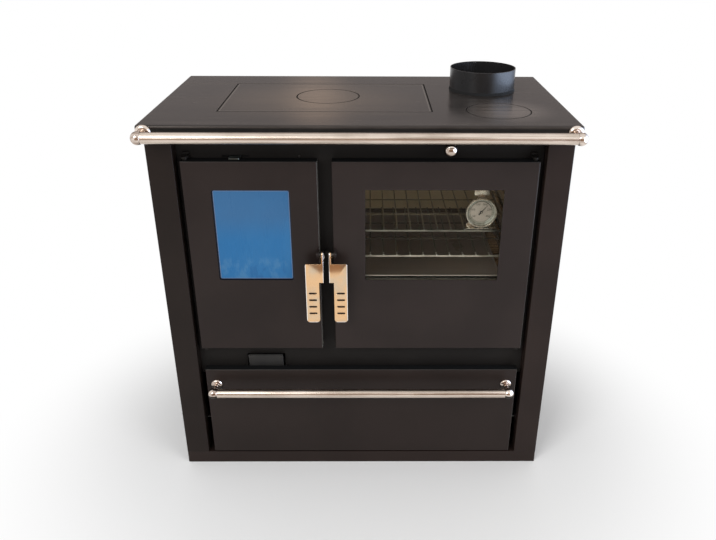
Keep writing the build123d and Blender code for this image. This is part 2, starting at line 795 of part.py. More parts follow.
with BuildPart() as grate_frame:
    with BuildSketch(Plane.XY.offset(grate_height - grate_frame_depth)):
        patch(casing_left, casing_right, frame_back, casing_back)
    extrude(amount=grate_frame_depth)
    for height, inset in ((grate_height - grate_frame_depth, grate_seat),
                          (grate_height - grate_thickness, 0)):
        with BuildSketch(Plane.XY.offset(height)):
            with Locations((firebox_middle, grate_middle_y)):
                Rectangle(grate_width - 2 * inset, grate_depth - 2 * inset)
        extrude(amount=grate_frame_depth, mode=Mode.SUBTRACT)
write(grate_frame.part, "grate_frame")

with BuildPart() as grate:
    plate_width = grate_width - 2 * grate_clearance
    plate_depth = grate_depth - 2 * grate_clearance
    with BuildSketch(Plane.XY.offset(grate_height - grate_thickness)):
        with Locations((firebox_middle, grate_middle_y)):
            Rectangle(plate_width, plate_depth)
            slots = int((plate_depth - 2 * grate_seat) // grate_slot_pitch)
            with GridLocations(plate_width / 2 - grate_seat / 2, grate_slot_pitch, 2, slots):
                SlotOverall(plate_width / 2 - 2 * grate_seat, grate_slot_width, mode=Mode.SUBTRACT)
    extrude(amount=grate_thickness)
write(grate.part, "grate")

with BuildPart() as ash_pan:
    pan_left = firebox_left + ash_pan_clearance
    pan_right = firebox_right - ash_pan_clearance
    pan_front = frame_back + ash_pan_clearance
    with BuildSketch(Plane.XY.offset(mouth_bottom)):
        patch(pan_left, pan_right, pan_front, pan_front + ash_pan_depth)
    extrude(amount=ash_pan_height)
    with BuildSketch(Plane.XY.offset(mouth_bottom + ash_pan_sheet)):
        patch(pan_left + ash_pan_sheet, pan_right - ash_pan_sheet, pan_front + ash_pan_sheet,
              pan_front + ash_pan_depth - ash_pan_sheet)
    extrude(amount=ash_pan_height, mode=Mode.SUBTRACT)
write(ash_pan.part, "ash_pan")

with BuildPart() as log_guard:
    with BuildSketch(front_plane(frame_back + brick_gap + guard_thickness)):
        patch(firebox_left + brick_gap, firebox_right - brick_gap, grate_height, grate_height + guard_height)
        slot_span = (firebox_right - firebox_left) / (guard_slots + 1)
        with Locations((firebox_middle, grate_height + guard_height / 2)):
            with GridLocations(slot_span, 1, guard_slots, 1):
                SlotOverall(guard_height - 2 * guard_margin, guard_slot_width, rotation=90,
                            mode=Mode.SUBTRACT)
    extrude(amount=guard_thickness)
write(log_guard.part, "log_guard")

# ---------------------------------------------------------------- flue chamber, damper and knob
chamber_left = spigot_centre[0] - chamber_side
chamber_right = spigot_centre[0] + spigot_radius + chamber_margin
chamber_front = spigot_centre[1] - spigot_radius - chamber_margin
oven_top = mouth_top + oven_sheet
window_half = damper_window[0] / 2
window_rise = damper_window[1] / 2
plate_front = chamber_front - damper_gap - damper_sheet

with BuildPart() as flue_chamber:
    with BuildSketch(Plane.XY.offset(oven_top)):
        patch(chamber_left, chamber_right, chamber_front, back_inner)
        patch(chamber_left + chamber_sheet, chamber_right - chamber_sheet, chamber_front + chamber_sheet,
              back_inner - chamber_sheet, mode=Mode.SUBTRACT)
    extrude(amount=hob_underside - oven_top)
    with BuildSketch(front_plane(chamber_front + chamber_sheet)):
        patch(damper_x - window_half, damper_x + window_half, damper_height - window_rise,
              damper_height + window_rise)
    extrude(amount=chamber_sheet, mode=Mode.SUBTRACT)
write(flue_chamber.part, "flue_chamber")

with BuildPart() as damper_plate:
    with BuildSketch(front_plane(chamber_front - damper_gap)):
        patch(damper_x - window_half - damper_lap, damper_x + window_half + damper_lap,
              damper_height - window_rise - damper_lap, damper_height + window_rise + damper_lap)
    extrude(amount=damper_sheet)
write(damper_plate.part, "damper_plate")

knob_y = face - knob_offset
with BuildPart() as damper_rod:
    with BuildSketch(front_plane(plate_front)):
        with Locations((damper_x, damper_height)):
            Circle(damper_rod_radius)
    extrude(amount=plate_front - knob_y - knob_socket)
write(damper_rod.part, "damper_rod")

with BuildPart() as damper_knob:
    with Locations((damper_x, knob_y, damper_height)):
        Sphere(knob_radius)
    neck_end = face - boss_depth - knob_gap
    with BuildSketch(front_plane(neck_end)):
        with Locations((damper_x, damper_height)):
            Circle(knob_neck_radius)
    extrude(amount=neck_end - knob_y)
    with BuildSketch(front_plane(neck_end)):
        with Locations((damper_x, damper_height)):
            Circle(damper_rod_radius + weld_gap)
    extrude(amount=neck_end - knob_y - knob_socket, mode=Mode.SUBTRACT)
write(damper_knob.part, "damper_knob")

# ---------------------------------------------------------------- air slider and air flap
with BuildPart() as air_slider:
    slider_front = frame_back + slider_gap
    with BuildSketch(front_plane(slider_front + slider_sheet)):
        patch(slider_x - slider_length / 2, slider_x + slider_length / 2, guide_bottom + slider_gap,
              guide_top - slider_gap)
        with Locations((slider_x, hob_underside - air_hole_drop)):
            with GridLocations(2 * slider_travel, 1, air_hole_count, 1):
                Circle(air_hole_radius, mode=Mode.SUBTRACT)
    extrude(amount=slider_sheet)
    with BuildSketch(front_plane(slider_front)):
        patch(slider_x - slider_tab_width / 2, slider_x + slider_tab_width / 2,
              slider_z - slider_tab_sheet / 2, slider_z + slider_tab_sheet / 2)
    extrude(amount=slider_tab_length + frame_sheet + slider_gap)
    fillet(air_slider.edges().filter_by(Axis.Z).group_by(Axis.Y)[0], slider_tab_sheet)
write(air_slider.part, "air_slider")

with BuildPart() as air_flap:
    with BuildSketch(side_plane(flap_x - flap_width / 2)):
        with Locations(Location((flap_y, flap_pivot_height, 0), flap_ajar)):
            Rectangle(flap_thickness, flap_height - flap_barrel_radius, align=(Align.MIN, Align.MIN))
            Circle(flap_barrel_radius)
            Circle(flap_pin_radius + running_clearance, mode=Mode.SUBTRACT)
    extrude(amount=flap_width)
write(air_flap.part, "air_flap")

with BuildPart() as flap_pin:
    pin_half = inlet_width / 2 + flap_lug_width
    with BuildSketch(side_plane(flap_x - pin_half)):
        with Locations((flap_y, flap_pivot_height)):
            Circle(flap_pin_radius)
    extrude(amount=2 * pin_half)
write(flap_pin.part, "flap_pin")

# ---------------------------------------------------------------- doors
shell_depth = door_depth - door_sheet
glass_front = front + door_sheet + gasket_thickness
glass_back = glass_front + glass_thickness
liner_front = door_back - liner_sheet


def window(width, height, radius, mode=Mode.ADD):
    """A rectangle with rounded corners, in the sketch that is open."""
    RectangleRounded(width, height, radius, mode=mode)


def door_set(name, left, right, window_x, window_width, window_radius, hinge_side):
    """One door: folded panel, gasket, glass, liner, studs, rope seal and the lever's pivot pin."""
    handle_side = -hinge_side
    outer = left if hinge_side < 0 else right
    hinge_x = outer - hinge_side * hinge_inset
    window_height = window_top - window_bottom
    window_place = (window_x, (window_top + window_bottom) / 2)
    middle = ((left + right) / 2, (door_bottom + door_top) / 2)
    width = right - left
    height = door_top - door_bottom
    lug_x = gap_middle - handle_side * lug_offset

    with BuildPart() as panel:
        with BuildSketch(front_plane(door_back)):
            patch(left, right, door_bottom, door_top)
        extrude(amount=door_depth)
        fillet(panel.faces().sort_by(Axis.Y)[0].edges(), door_edge_radius)
        with BuildSketch(front_plane(door_back)):
            patch(left + door_sheet, right - door_sheet, door_bottom + door_sheet, door_top - door_sheet)
        extrude(amount=shell_depth, mode=Mode.SUBTRACT)
        with BuildSketch(front_plane(door_back)):
            with Locations(window_place):
                window(window_width, window_height, window_radius)
        extrude(amount=door_depth, mode=Mode.SUBTRACT)
        # a block inside each end takes the hinge pin
        for end, inward in ((door_bottom, 1), (door_top, -1)):
            with BuildSketch(Plane.XY.offset(end)):
                patch(hinge_x - hinge_side * hinge_block, outer - hinge_side * door_sheet / 2,
                      front + door_sheet / 2, liner_front)
            extrude(amount=inward * (hinge_pin_reach + 2 * hinge_gap))
        for end, inward in ((door_bottom, 1), (door_top, -1)):
            with BuildSketch(Plane.XY.offset(end)):
                with Locations((hinge_x, hinge_y)):
                    Circle(hinge_pin_radius + running_clearance)
            extrude(amount=inward * (hinge_pin_reach + hinge_gap), mode=Mode.SUBTRACT)
        # the lug on the face carries the lever's pin
        with BuildSketch(side_plane(lug_x)):
            patch(pivot_y, front + door_sheet, pivot_height - pivot_eye_radius,
                  pivot_height + pivot_eye_radius)
            with Locations((pivot_y, pivot_height)):
                Circle(pivot_eye_radius)
                Circle(pivot_pin_radius + running_clearance, mode=Mode.SUBTRACT)
        extrude(amount=-handle_side * lug_width)
    write(panel.part, f"{name}_panel")

    with BuildPart() as gasket:
        with BuildSketch(front_plane(glass_front)):
            with Locations(window_place):
                window(window_width + 2 * glass_lap, window_height + 2 * glass_lap, window_radius)
                window(window_width + 2 * (glass_lap - gasket_width),
                       window_height + 2 * (glass_lap - gasket_width), window_radius, mode=Mode.SUBTRACT)
        extrude(amount=gasket_thickness)
    write(gasket.part, f"{name}_gasket")

    with BuildPart() as glass:
        with BuildSketch(front_plane(glass_back)):
            with Locations(window_place):
                window(window_width + 2 * glass_lap, window_height + 2 * glass_lap, window_radius)
        extrude(amount=glass_thickness)
    write(glass.part, f"{name}_glass")

    stud_grid = (width - 2 * stud_inset, (height - 2 * stud_inset) / 2, 2, 3)
    with BuildPart() as liner:
        with BuildSketch(front_plane(door_back)):
            edge = door_sheet + liner_edge_gap
            patch(left + edge, right - edge, door_bottom + edge, door_top - edge)
            with Locations(middle):
                with GridLocations(*stud_grid):
                    Circle(stud_radius + weld_gap, mode=Mode.SUBTRACT)
        extrude(amount=liner_sheet)
        # the lip round the window holds the glass
        lip = liner_margin + liner_sheet
        with BuildSketch(front_plane(door_back)):
            with Locations(window_place):
                window(window_width + 2 * lip, window_height + 2 * lip, window_radius)
        extrude(amount=door_back - glass_back)
        with BuildSketch(front_plane(door_back)):
            with Locations(window_place):
                window(window_width + 2 * liner_margin, window_height + 2 * liner_margin, window_radius)
        extrude(amount=door_back - glass_back, mode=Mode.SUBTRACT)
    write(liner.part, f"{name}_liner")

    with BuildPart() as studs:
        for depth, radius, length in ((door_back, stud_radius, shell_depth),
                                      (door_back + stud_head, stud_head_radius, stud_head)):
            with BuildSketch(front_plane(depth)):
                with Locations(middle):
                    with GridLocations(*stud_grid):
                        Circle(radius)
            extrude(amount=length)
    write(studs.part, f"{name}_studs")

    seal_radius = (face - seal_clearance - door_back) / 2
    seal_depth = door_back + seal_radius
    with BuildPart() as seal:
        with BuildLine(front_plane(seal_depth)) as rope:
            Polyline(
                (left + seal_inset, door_bottom + seal_inset),
                (right - seal_inset, door_bottom + seal_inset),
                (right - seal_inset, door_top - seal_inset),
                (left + seal_inset, door_top - seal_inset),
                close=True,
            )
            fillet(rope.vertices(), seal_inset)
        with BuildSketch(Plane(rope.line @ 0, z_dir=rope.line % 0)):
            Circle(seal_radius)
        sweep(path=rope.line)
    write(seal.part, f"{name}_seal")

    # inner head, shank, collar between lever and lug, outer head
    flange_outer = flange_inner + handle_sheet
    shank_start = flange_inner - pivot_collar_gap
    shank_end = lug_offset + lug_width
    collar_start = flange_outer + pivot_collar_gap
    with BuildPart() as pivot:
        for start, length, radius in (
            (shank_start - pivot_head, pivot_head, pivot_collar_radius),
            (shank_start, shank_end - shank_start, pivot_pin_radius),
            (collar_start, lug_offset - collar_start, pivot_collar_radius),
            (shank_end, pivot_head, pivot_collar_radius),
        ):
            with BuildSketch(side_plane(gap_middle - handle_side * start)):
                with Locations((pivot_y, pivot_height)):
                    Circle(radius)
            extrude(amount=-handle_side * length)
    write(pivot.part, f"{name}_pivot")


door_set("firebox_door", -door_outer, firebox_door_right, firebox_window_x, firebox_window_width,
         firebox_window_radius, -1)
door_set("oven_door", oven_door_left, door_outer, oven_window_x, oven_window_width, oven_window_radius, 1)


def hook_point(radius, angle):
    """A point in the lever's plane, in polar terms about its pivot, as (Y, Z)."""
    return (pivot_y + radius * cos(radians(angle)), pivot_height + radius * sin(radians(angle)))


keeper_distance = hypot(keeper_y - pivot_y, keeper_drop)
keeper_angle = degrees(atan2(-keeper_drop, keeper_y - pivot_y))
hook_inner = keeper_distance + keeper_pin_radius + hook_clearance
hook_outer = hook_inner + hook_thickness
keeper_span = degrees((keeper_pin_radius + hook_dip) / keeper_distance)
arm_lean = degrees(hook_arm_depth / 2 / keeper_distance)
arm_angle = keeper_angle - keeper_span - arm_lean - latch_travel
tip_angle = keeper_angle + hook_tip_rise - latch_travel


def lever(side):
    """A door's lever: a slotted front plate, and a folded flange with the pivot's eye and the latch hook."""
    plate_back = front - handle_standoff
    plate_front_y = plate_back - handle_sheet
    handle_top = pivot_height - handle_top_drop
    handle_step = pivot_height - handle_step_drop
    handle_bottom = pivot_height - handle_bottom_drop
    slot_top = pivot_height - slot_top_drop

    def across(offset):
        return gap_middle + side * offset

    with BuildPart() as handle:
        with BuildSketch(front_plane(plate_back)) as outline:
            with BuildLine():
                Polyline(
                    (across(flange_inner), handle_top), (across(handle_reach), handle_top),
                    (across(handle_reach), handle_bottom), (across(handle_lower_reach), handle_bottom),
                    (across(handle_lower_reach), handle_step), (across(flange_inner), handle_step),
                    close=True,
                )
            make_face()
            lower_corners = outline.vertices().group_by(Axis.Y)[0]
            fillet(lower_corners, handle_corner_radius)
            upper_corners = outline.vertices().group_by(Axis.Y)[-1].sort_by(Axis.X)
            fillet(upper_corners[-1] if side > 0 else upper_corners[0], handle_upper_radius)
            slot_width = handle_reach - handle_lower_reach - 2 * slot_margin
            slot_middle = slot_top - slot_pitch * (slot_count - 1) / 2
            with Locations((across((handle_reach + handle_lower_reach) / 2), slot_middle)):
                with GridLocations(1, slot_pitch, 1, slot_count):
                    SlotOverall(slot_width, slot_height, mode=Mode.SUBTRACT)
        extrude(amount=handle_sheet)
        # the flange reaches back from the plate's inner edge to the pivot
        with BuildSketch(side_plane(across(flange_inner))):
            with BuildLine():
                Polyline(
                    (plate_front_y, handle_step), (plate_front_y, handle_top),
                    hook_point(pivot_eye_radius, eye_upper_angle), hook_point(0, 0),
                    hook_point(pivot_eye_radius, eye_lower_angle), (plate_back + handle_sheet, handle_step),
                    (plate_front_y, handle_step),
                )
            make_face()
            with Locations((pivot_y, pivot_height)):
                Circle(pivot_eye_radius)
                Rectangle(hook_outer, hook_arm_depth, rotation=arm_angle, align=(Align.MIN, Align.CENTER))
            with BuildLine():
                hook_angles = (arm_angle, (arm_angle + tip_angle) / 2, tip_angle)
                outer_arc = ThreePointArc(*[hook_point(hook_outer, angle) for angle in hook_angles])
                inner_arc = ThreePointArc(*[hook_point(hook_inner, angle) for angle in hook_angles])
                Line(outer_arc @ 0, inner_arc @ 0)
                Line(outer_arc @ 1, inner_arc @ 1)
            make_face()
            with Locations((pivot_y, pivot_height)):
                Circle(pivot_pin_radius + running_clearance, mode=Mode.SUBTRACT)
        extrude(amount=side * handle_sheet)
    return handle.part


write(lever(-1), "firebox_door_handle")
write(lever(1), "oven_door_handle")

with BuildPart() as latch_keeper:
    with BuildSketch(side_plane(gap_middle - keeper_half_width)):
        patch(keeper_y - keeper_pin_radius, face, keeper_z - keeper_half_height,
              keeper_z + keeper_half_height)
    extrude(amount=2 * keeper_half_width)
    fillet(latch_keeper.edges().filter_by(Axis.X).group_by(Axis.Y)[0], keeper_pin_radius)
    with BuildSketch(side_plane(gap_middle - keeper_pin_reach)):
        with Locations((keeper_y, keeper_z)):
            Circle(keeper_pin_radius)
    extrude(amount=2 * keeper_pin_reach)
write(latch_keeper.part, "latch_keeper")

with BuildPart() as hinge_brackets:
    for side in (-1, 1):
        hinge_x = side * (door_outer - hinge_inset)
        for end, outward in ((door_bottom, -1), (door_top, 1)):
            near = end + outward * hinge_gap
            half = hinge_bracket_width / 2
            with BuildSketch(Plane.XY.offset(near)):
                patch(hinge_x - half, hinge_x + half, hinge_y, face)
                with Locations((hinge_x, hinge_y)):
                    Circle(half)
            extrude(amount=outward * hinge_bracket_sheet)
            with BuildSketch(front_plane(face)):
                patch(hinge_x - half, hinge_x + half, near, near + outward * hinge_bracket_height)
            extrude(amount=hinge_bracket_sheet)
            with BuildSketch(Plane.XY.offset(near)):
                with Locations((hinge_x, hinge_y)):
                    Circle(hinge_pin_radius)
            extrude(amount=-outward * (hinge_gap + hinge_pin_reach))
write(hinge_brackets.part, "hinge_brackets")

# ---------------------------------------------------------------- drawer
drawer_left = -post_inner + drawer_gap
drawer_right = post_inner - drawer_gap
drawer_front_back = front + drawer_front_depth
box_half = post_inner - drawer_side_gap
box_floor = drawer_front_bottom + drawer_box_lift
box_back = rear - drawer_rear_gap
drawer_box_height = base_height - drawer_headroom - box_floor

with BuildPart() as drawer_front:
    with BuildSketch(front_plane(drawer_front_back)):
        patch(drawer_left, drawer_right, drawer_front_bottom, drawer_top)
    extrude(amount=drawer_front_depth)
    fillet(drawer_front.faces().sort_by(Axis.Y)[0].edges(), door_edge_radius)
    with BuildSketch(front_plane(drawer_front_back)):
        patch(drawer_left + drawer_front_sheet, drawer_right - drawer_front_sheet,
              drawer_front_bottom + drawer_front_sheet, drawer_top - drawer_front_sheet)
    extrude(amount=drawer_front_depth - drawer_front_sheet, mode=Mode.SUBTRACT)
write(drawer_front.part, "drawer_front")

with BuildPart() as drawer_box:
    with BuildSketch(Plane.XY.offset(box_floor)):
        patch(-box_half, box_half, front + drawer_front_sheet, box_back)
    extrude(amount=drawer_box_height)
    with BuildSketch(Plane.XY.offset(box_floor + drawer_sheet)):
        patch(-box_half + drawer_sheet, box_half - drawer_sheet, front + drawer_front_sheet + drawer_sheet,
              box_back - drawer_sheet)
    extrude(amount=drawer_box_height, mode=Mode.SUBTRACT)
    # the walls are hemmed to double thickness along the top
    with BuildSketch(Plane.XY.offset(box_floor + drawer_box_height - drawer_hem)):
        patch(-box_half, box_half, front + drawer_front_sheet, box_back)
        patch(-box_half + 2 * drawer_sheet, box_half - 2 * drawer_sheet,
              front + drawer_front_sheet + 2 * drawer_sheet, box_back - 2 * drawer_sheet, mode=Mode.SUBTRACT)
    extrude(amount=drawer_hem)
write(drawer_box.part, "drawer_box")

slide_outer = box_half + slide_width
slide_level = box_floor + slide_rise
with BuildPart() as drawer_slides:
    for side in (-1, 1):
        with BuildSketch(front_plane(box_back)):
            patch(side * box_half, side * slide_outer, slide_level - slide_height / 2,
                  slide_level + slide_height / 2)
        extrude(amount=box_back - frame_back)
write(drawer_slides.part, "drawer_slides")

with BuildPart() as drawer_runners:
    rail_x = slide_outer + slide_clearance
    rail_low = slide_level - slide_height / 2 - slide_clearance
    rail_high = slide_level + slide_height / 2 + slide_clearance
    wall_x = half_width - casing_sheet
    runner_length = rear - runner_rear_gap - frame_back
    for side in (-1, 1):
        with BuildSketch(front_plane(frame_back + runner_length)):
            patch(side * rail_x, side * (rail_x + drawer_sheet), rail_low - drawer_sheet,
                  rail_high + drawer_sheet)
            patch(side * (box_half + slide_clearance), side * rail_x, rail_high, rail_high + drawer_sheet)
            patch(side * (box_half + slide_clearance), side * wall_x, rail_low - drawer_sheet, rail_low)
            patch(side * (wall_x - drawer_sheet), side * wall_x, rail_low, rail_high)
        extrude(amount=runner_length)
write(drawer_runners.part, "drawer_runners")

# ---------------------------------------------------------------- rails


def rail_brackets(rosette_radius, ball_radius, bar_radius, ball_x, standoff, back_y, height):
    """Two turned brackets: rosette, stem and ball, with a socket in each ball for the bar."""
    ball_y = back_y - standoff
    rim_y = back_y - rosette_rim
    crown_y = back_y - rosette_thickness
    rim_x = ball_x + rosette_radius
    stem_x = ball_x + stem_radius
    with BuildPart() as pair:
        with BuildSketch(Plane.XY.offset(height)):
            with BuildLine():
                Polyline((stem_x, ball_y), (ball_x, ball_y), (ball_x, back_y), (rim_x, back_y),
                         (rim_x, rim_y))
                TangentArc((rim_x, rim_y), (stem_x, crown_y), tangent=(-rosette_lean, -1))
                Line((stem_x, crown_y), (stem_x, ball_y))
            make_face()
        revolve(axis=Axis((ball_x, back_y, height), (0, 1, 0)))
        with Locations((ball_x, ball_y, height)):
            Sphere(ball_radius)
        with BuildSketch(side_plane(ball_x - socket_floor)):
            with Locations((ball_y, height)):
                Circle(bar_radius + socket_gap)
        extrude(amount=-ball_radius, mode=Mode.SUBTRACT)
        mirror(about=Plane.YZ)
    return pair.part


def rail_bar(bar_radius, ball_x, standoff, back_y, height):
    """The bar between two brackets."""
    with BuildPart() as bar:
        with BuildSketch(side_plane(-ball_x + socket_floor)):
            with Locations((back_y - standoff, height)):
                Circle(bar_radius)
        extrude(amount=2 * (ball_x - socket_floor))
    return bar.part


drawer_ball_x = drawer_right - drawer_ball_inset
drawer_rail_z = drawer_top - drawer_rail_drop
top_place = (hob_half_width - top_ball_inset, top_rail_standoff, hob_front, top_rail_z)
drawer_place = (drawer_ball_x, drawer_rail_standoff, front, drawer_rail_z)
write(rail_bar(top_rail_radius, *top_place), "top_rail")
write(rail_brackets(top_rosette_radius, top_ball_radius, top_rail_radius, *top_place), "top_rail_brackets")
write(rail_bar(drawer_rail_radius, *drawer_place), "drawer_rail")
write(rail_brackets(drawer_rosette_radius, drawer_ball_radius, drawer_rail_radius, *drawer_place),
      "drawer_rail_brackets")
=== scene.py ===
# %% [markdown]
# # Dressing a wood cookstove
# The construction model is already packed: every sheet, casting, hinge and screw is a node with its real size.
# This lesson loads it as a fixed frame, gives every surface its finish, and models the few pieces whose look
# needs more than a plain solid: rope seals, glass tapes, the window's film, screws and nuts, the levers' soft
# edges, the oven thermometer and a little trim. All lengths are in metres.

import json
from math import cos, pi, radians, sin

import bmesh
import bpy
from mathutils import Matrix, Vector


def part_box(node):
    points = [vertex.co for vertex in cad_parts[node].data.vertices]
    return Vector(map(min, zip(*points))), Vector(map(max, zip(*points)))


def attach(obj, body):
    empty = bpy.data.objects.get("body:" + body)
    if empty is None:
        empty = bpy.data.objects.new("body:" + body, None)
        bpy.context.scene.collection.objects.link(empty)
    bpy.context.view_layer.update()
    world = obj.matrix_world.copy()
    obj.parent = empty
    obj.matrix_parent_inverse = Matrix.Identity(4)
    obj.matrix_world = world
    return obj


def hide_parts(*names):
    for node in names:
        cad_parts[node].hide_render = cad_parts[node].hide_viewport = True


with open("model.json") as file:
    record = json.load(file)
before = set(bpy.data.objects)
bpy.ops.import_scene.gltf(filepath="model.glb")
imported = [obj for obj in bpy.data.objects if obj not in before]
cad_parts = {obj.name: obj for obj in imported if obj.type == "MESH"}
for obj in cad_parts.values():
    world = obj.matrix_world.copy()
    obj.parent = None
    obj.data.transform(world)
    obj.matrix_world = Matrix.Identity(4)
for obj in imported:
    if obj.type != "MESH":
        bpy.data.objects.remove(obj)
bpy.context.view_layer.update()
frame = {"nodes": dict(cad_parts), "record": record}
nodes = frame["nodes"]

# %% [markdown]
# ## Camera
# The photograph was taken from standing height, a little to the right of the stove's middle, looking down at the
# hob. A wide lens close to the stove makes the front's sides lean together towards the floor, so the place and
# the lens both matter. They were fitted to the stove's own edges. Two small shifts match the picture's framing.

# %% Camera
PHOTO_WIDTH, PHOTO_HEIGHT = 716, 540
FOCAL_PIXELS = 707.1
CENTRE_PIXEL = (375.2, 262.3)
SENSOR_MM = 36
NEAR_CLIP = 0.05
EYE = Vector((0.0175, -1.5614, 1.1910))
PITCH, YAW, ROLL = radians(25.99), radians(0.54), radians(0.28)

forward = Vector((sin(YAW) * cos(PITCH), cos(YAW) * cos(PITCH), -sin(PITCH)))
level_right = Vector((cos(YAW), -sin(YAW), 0))
level_up = level_right.cross(forward)
right = level_right * cos(ROLL) + level_up * sin(ROLL)
up = right.cross(forward)

camera_data = bpy.data.cameras.new("camera")
camera_data.sensor_width = SENSOR_MM
camera_data.lens = FOCAL_PIXELS / PHOTO_WIDTH * SENSOR_MM
camera_data.shift_x = (PHOTO_WIDTH / 2 - CENTRE_PIXEL[0]) / PHOTO_WIDTH
camera_data.shift_y = (CENTRE_PIXEL[1] - PHOTO_HEIGHT / 2) / PHOTO_WIDTH
camera_data.clip_start = NEAR_CLIP
camera = bpy.data.objects.new("camera", camera_data)
bpy.context.scene.collection.objects.link(camera)
turn = camera.matrix_world.to_3x3()
turn.col[0], turn.col[1], turn.col[2] = right, up, -forward
camera.matrix_world = turn.to_4x4()
camera.location = EYE
bpy.context.scene.camera = camera
bpy.context.scene.view_settings.view_transform = "Standard"
print("lens", round(camera_data.lens, 2), "mm")

# %% [markdown]
# ## Shader maths as plain arithmetic
# Node trees get long when every sum is a node placed by hand. `Val` wraps one output socket and overloads the
# operators, so `1 - mask * 0.5` adds the Math nodes by itself, and a finish further down reads as a few sums.

# %% Shader values
class Val:
    """One output socket, so that shader maths reads as arithmetic."""

    def __init__(self, tree, socket):
        self.tree = tree
        self.socket = socket

    def _math(self, operation, first, second=0.5):
        return self.tree.node("ShaderNodeMath", {"operation": operation}, {0: first, 1: second})

    def __add__(self, other):
        return self._math("ADD", self, other)

    def __sub__(self, other):
        return self._math("SUBTRACT", self, other)

    def __rsub__(self, other):
        return self._math("SUBTRACT", other, self)

    def __mul__(self, other):
        return self._math("MULTIPLY", self, other)

    def __abs__(self):
        return self._math("ABSOLUTE", self)

    __radd__ = __add__

    def sine(self):
        """The sine of a value in radians."""
        return self._math("SINE", self)

    def at_least(self, other):
        """The larger of two values."""
        return self._math("MAXIMUM", self, other)

    def at_most(self, other):
        """The smaller of two values."""
        return self._math("MINIMUM", self, other)

    def swing(self, amount):
        """Values about a half, as values about zero that reach half the amount either way."""
        return (self - 0.5) * amount

    def ramp(self, low, high, to_low=0.0, to_high=1.0):
        """Maps a range of values smoothly to another."""
        ends = {"Value": self, "From Min": low, "From Max": high, "To Min": to_low, "To Max": to_high}
        return self.tree.node("ShaderNodeMapRange", {"interpolation_type": "SMOOTHSTEP"}, ends)

    def out(self, name):
        """Another output of the same node."""
        return Val(self.tree, self.socket.node.outputs[name])


# %% [markdown]
# ## Short calls for nodes
# `Tree` adds nodes to any tree, be it a material's or the world's: `node` takes the node's settings and what goes
# into its sockets in one call, and hands back its first output as a `Val`.

# %% Node trees
class Tree:
    """A node tree, and the calls that add to it."""

    def __init__(self, tree):
        self.tree = tree

    def feed(self, socket, value):
        """Links a Val to a socket, or sets a plain value on it."""
        if isinstance(value, Val):
            self.tree.links.new(value.socket, socket)
        else:
            socket.default_value = value

    def node(self, kind, settings=None, inputs=None):
        """Adds any node: its settings first, then the values or links of its sockets."""
        made = self.tree.nodes.new(kind)
        for name, value in (settings or {}).items():
            setattr(made, name, value)
        for name, value in (inputs or {}).items():
            self.feed(made.inputs[name], value)
        return Val(self, next(socket for socket in made.outputs if socket.enabled))

    def looked_at(self):
        """One for what is seen straight, in a mirror or through glass, and zero for scattered light."""
        path = self.node("ShaderNodeLightPath")
        seen = path.out("Is Camera Ray").at_least(path.out("Is Glossy Ray"))
        return seen.at_least(path.out("Is Transmission Ray"))


# %% [markdown]
# ## One material at a time
# `Paint` is the tree of one material, with the few building blocks that every finish here uses: places in metres on
# the object, noise, and a mix of two colours. Its `done` links what varies over the surface to the shader. Places
# are always those of the object itself, so a finish stays put when a door swings or the drawer comes out.

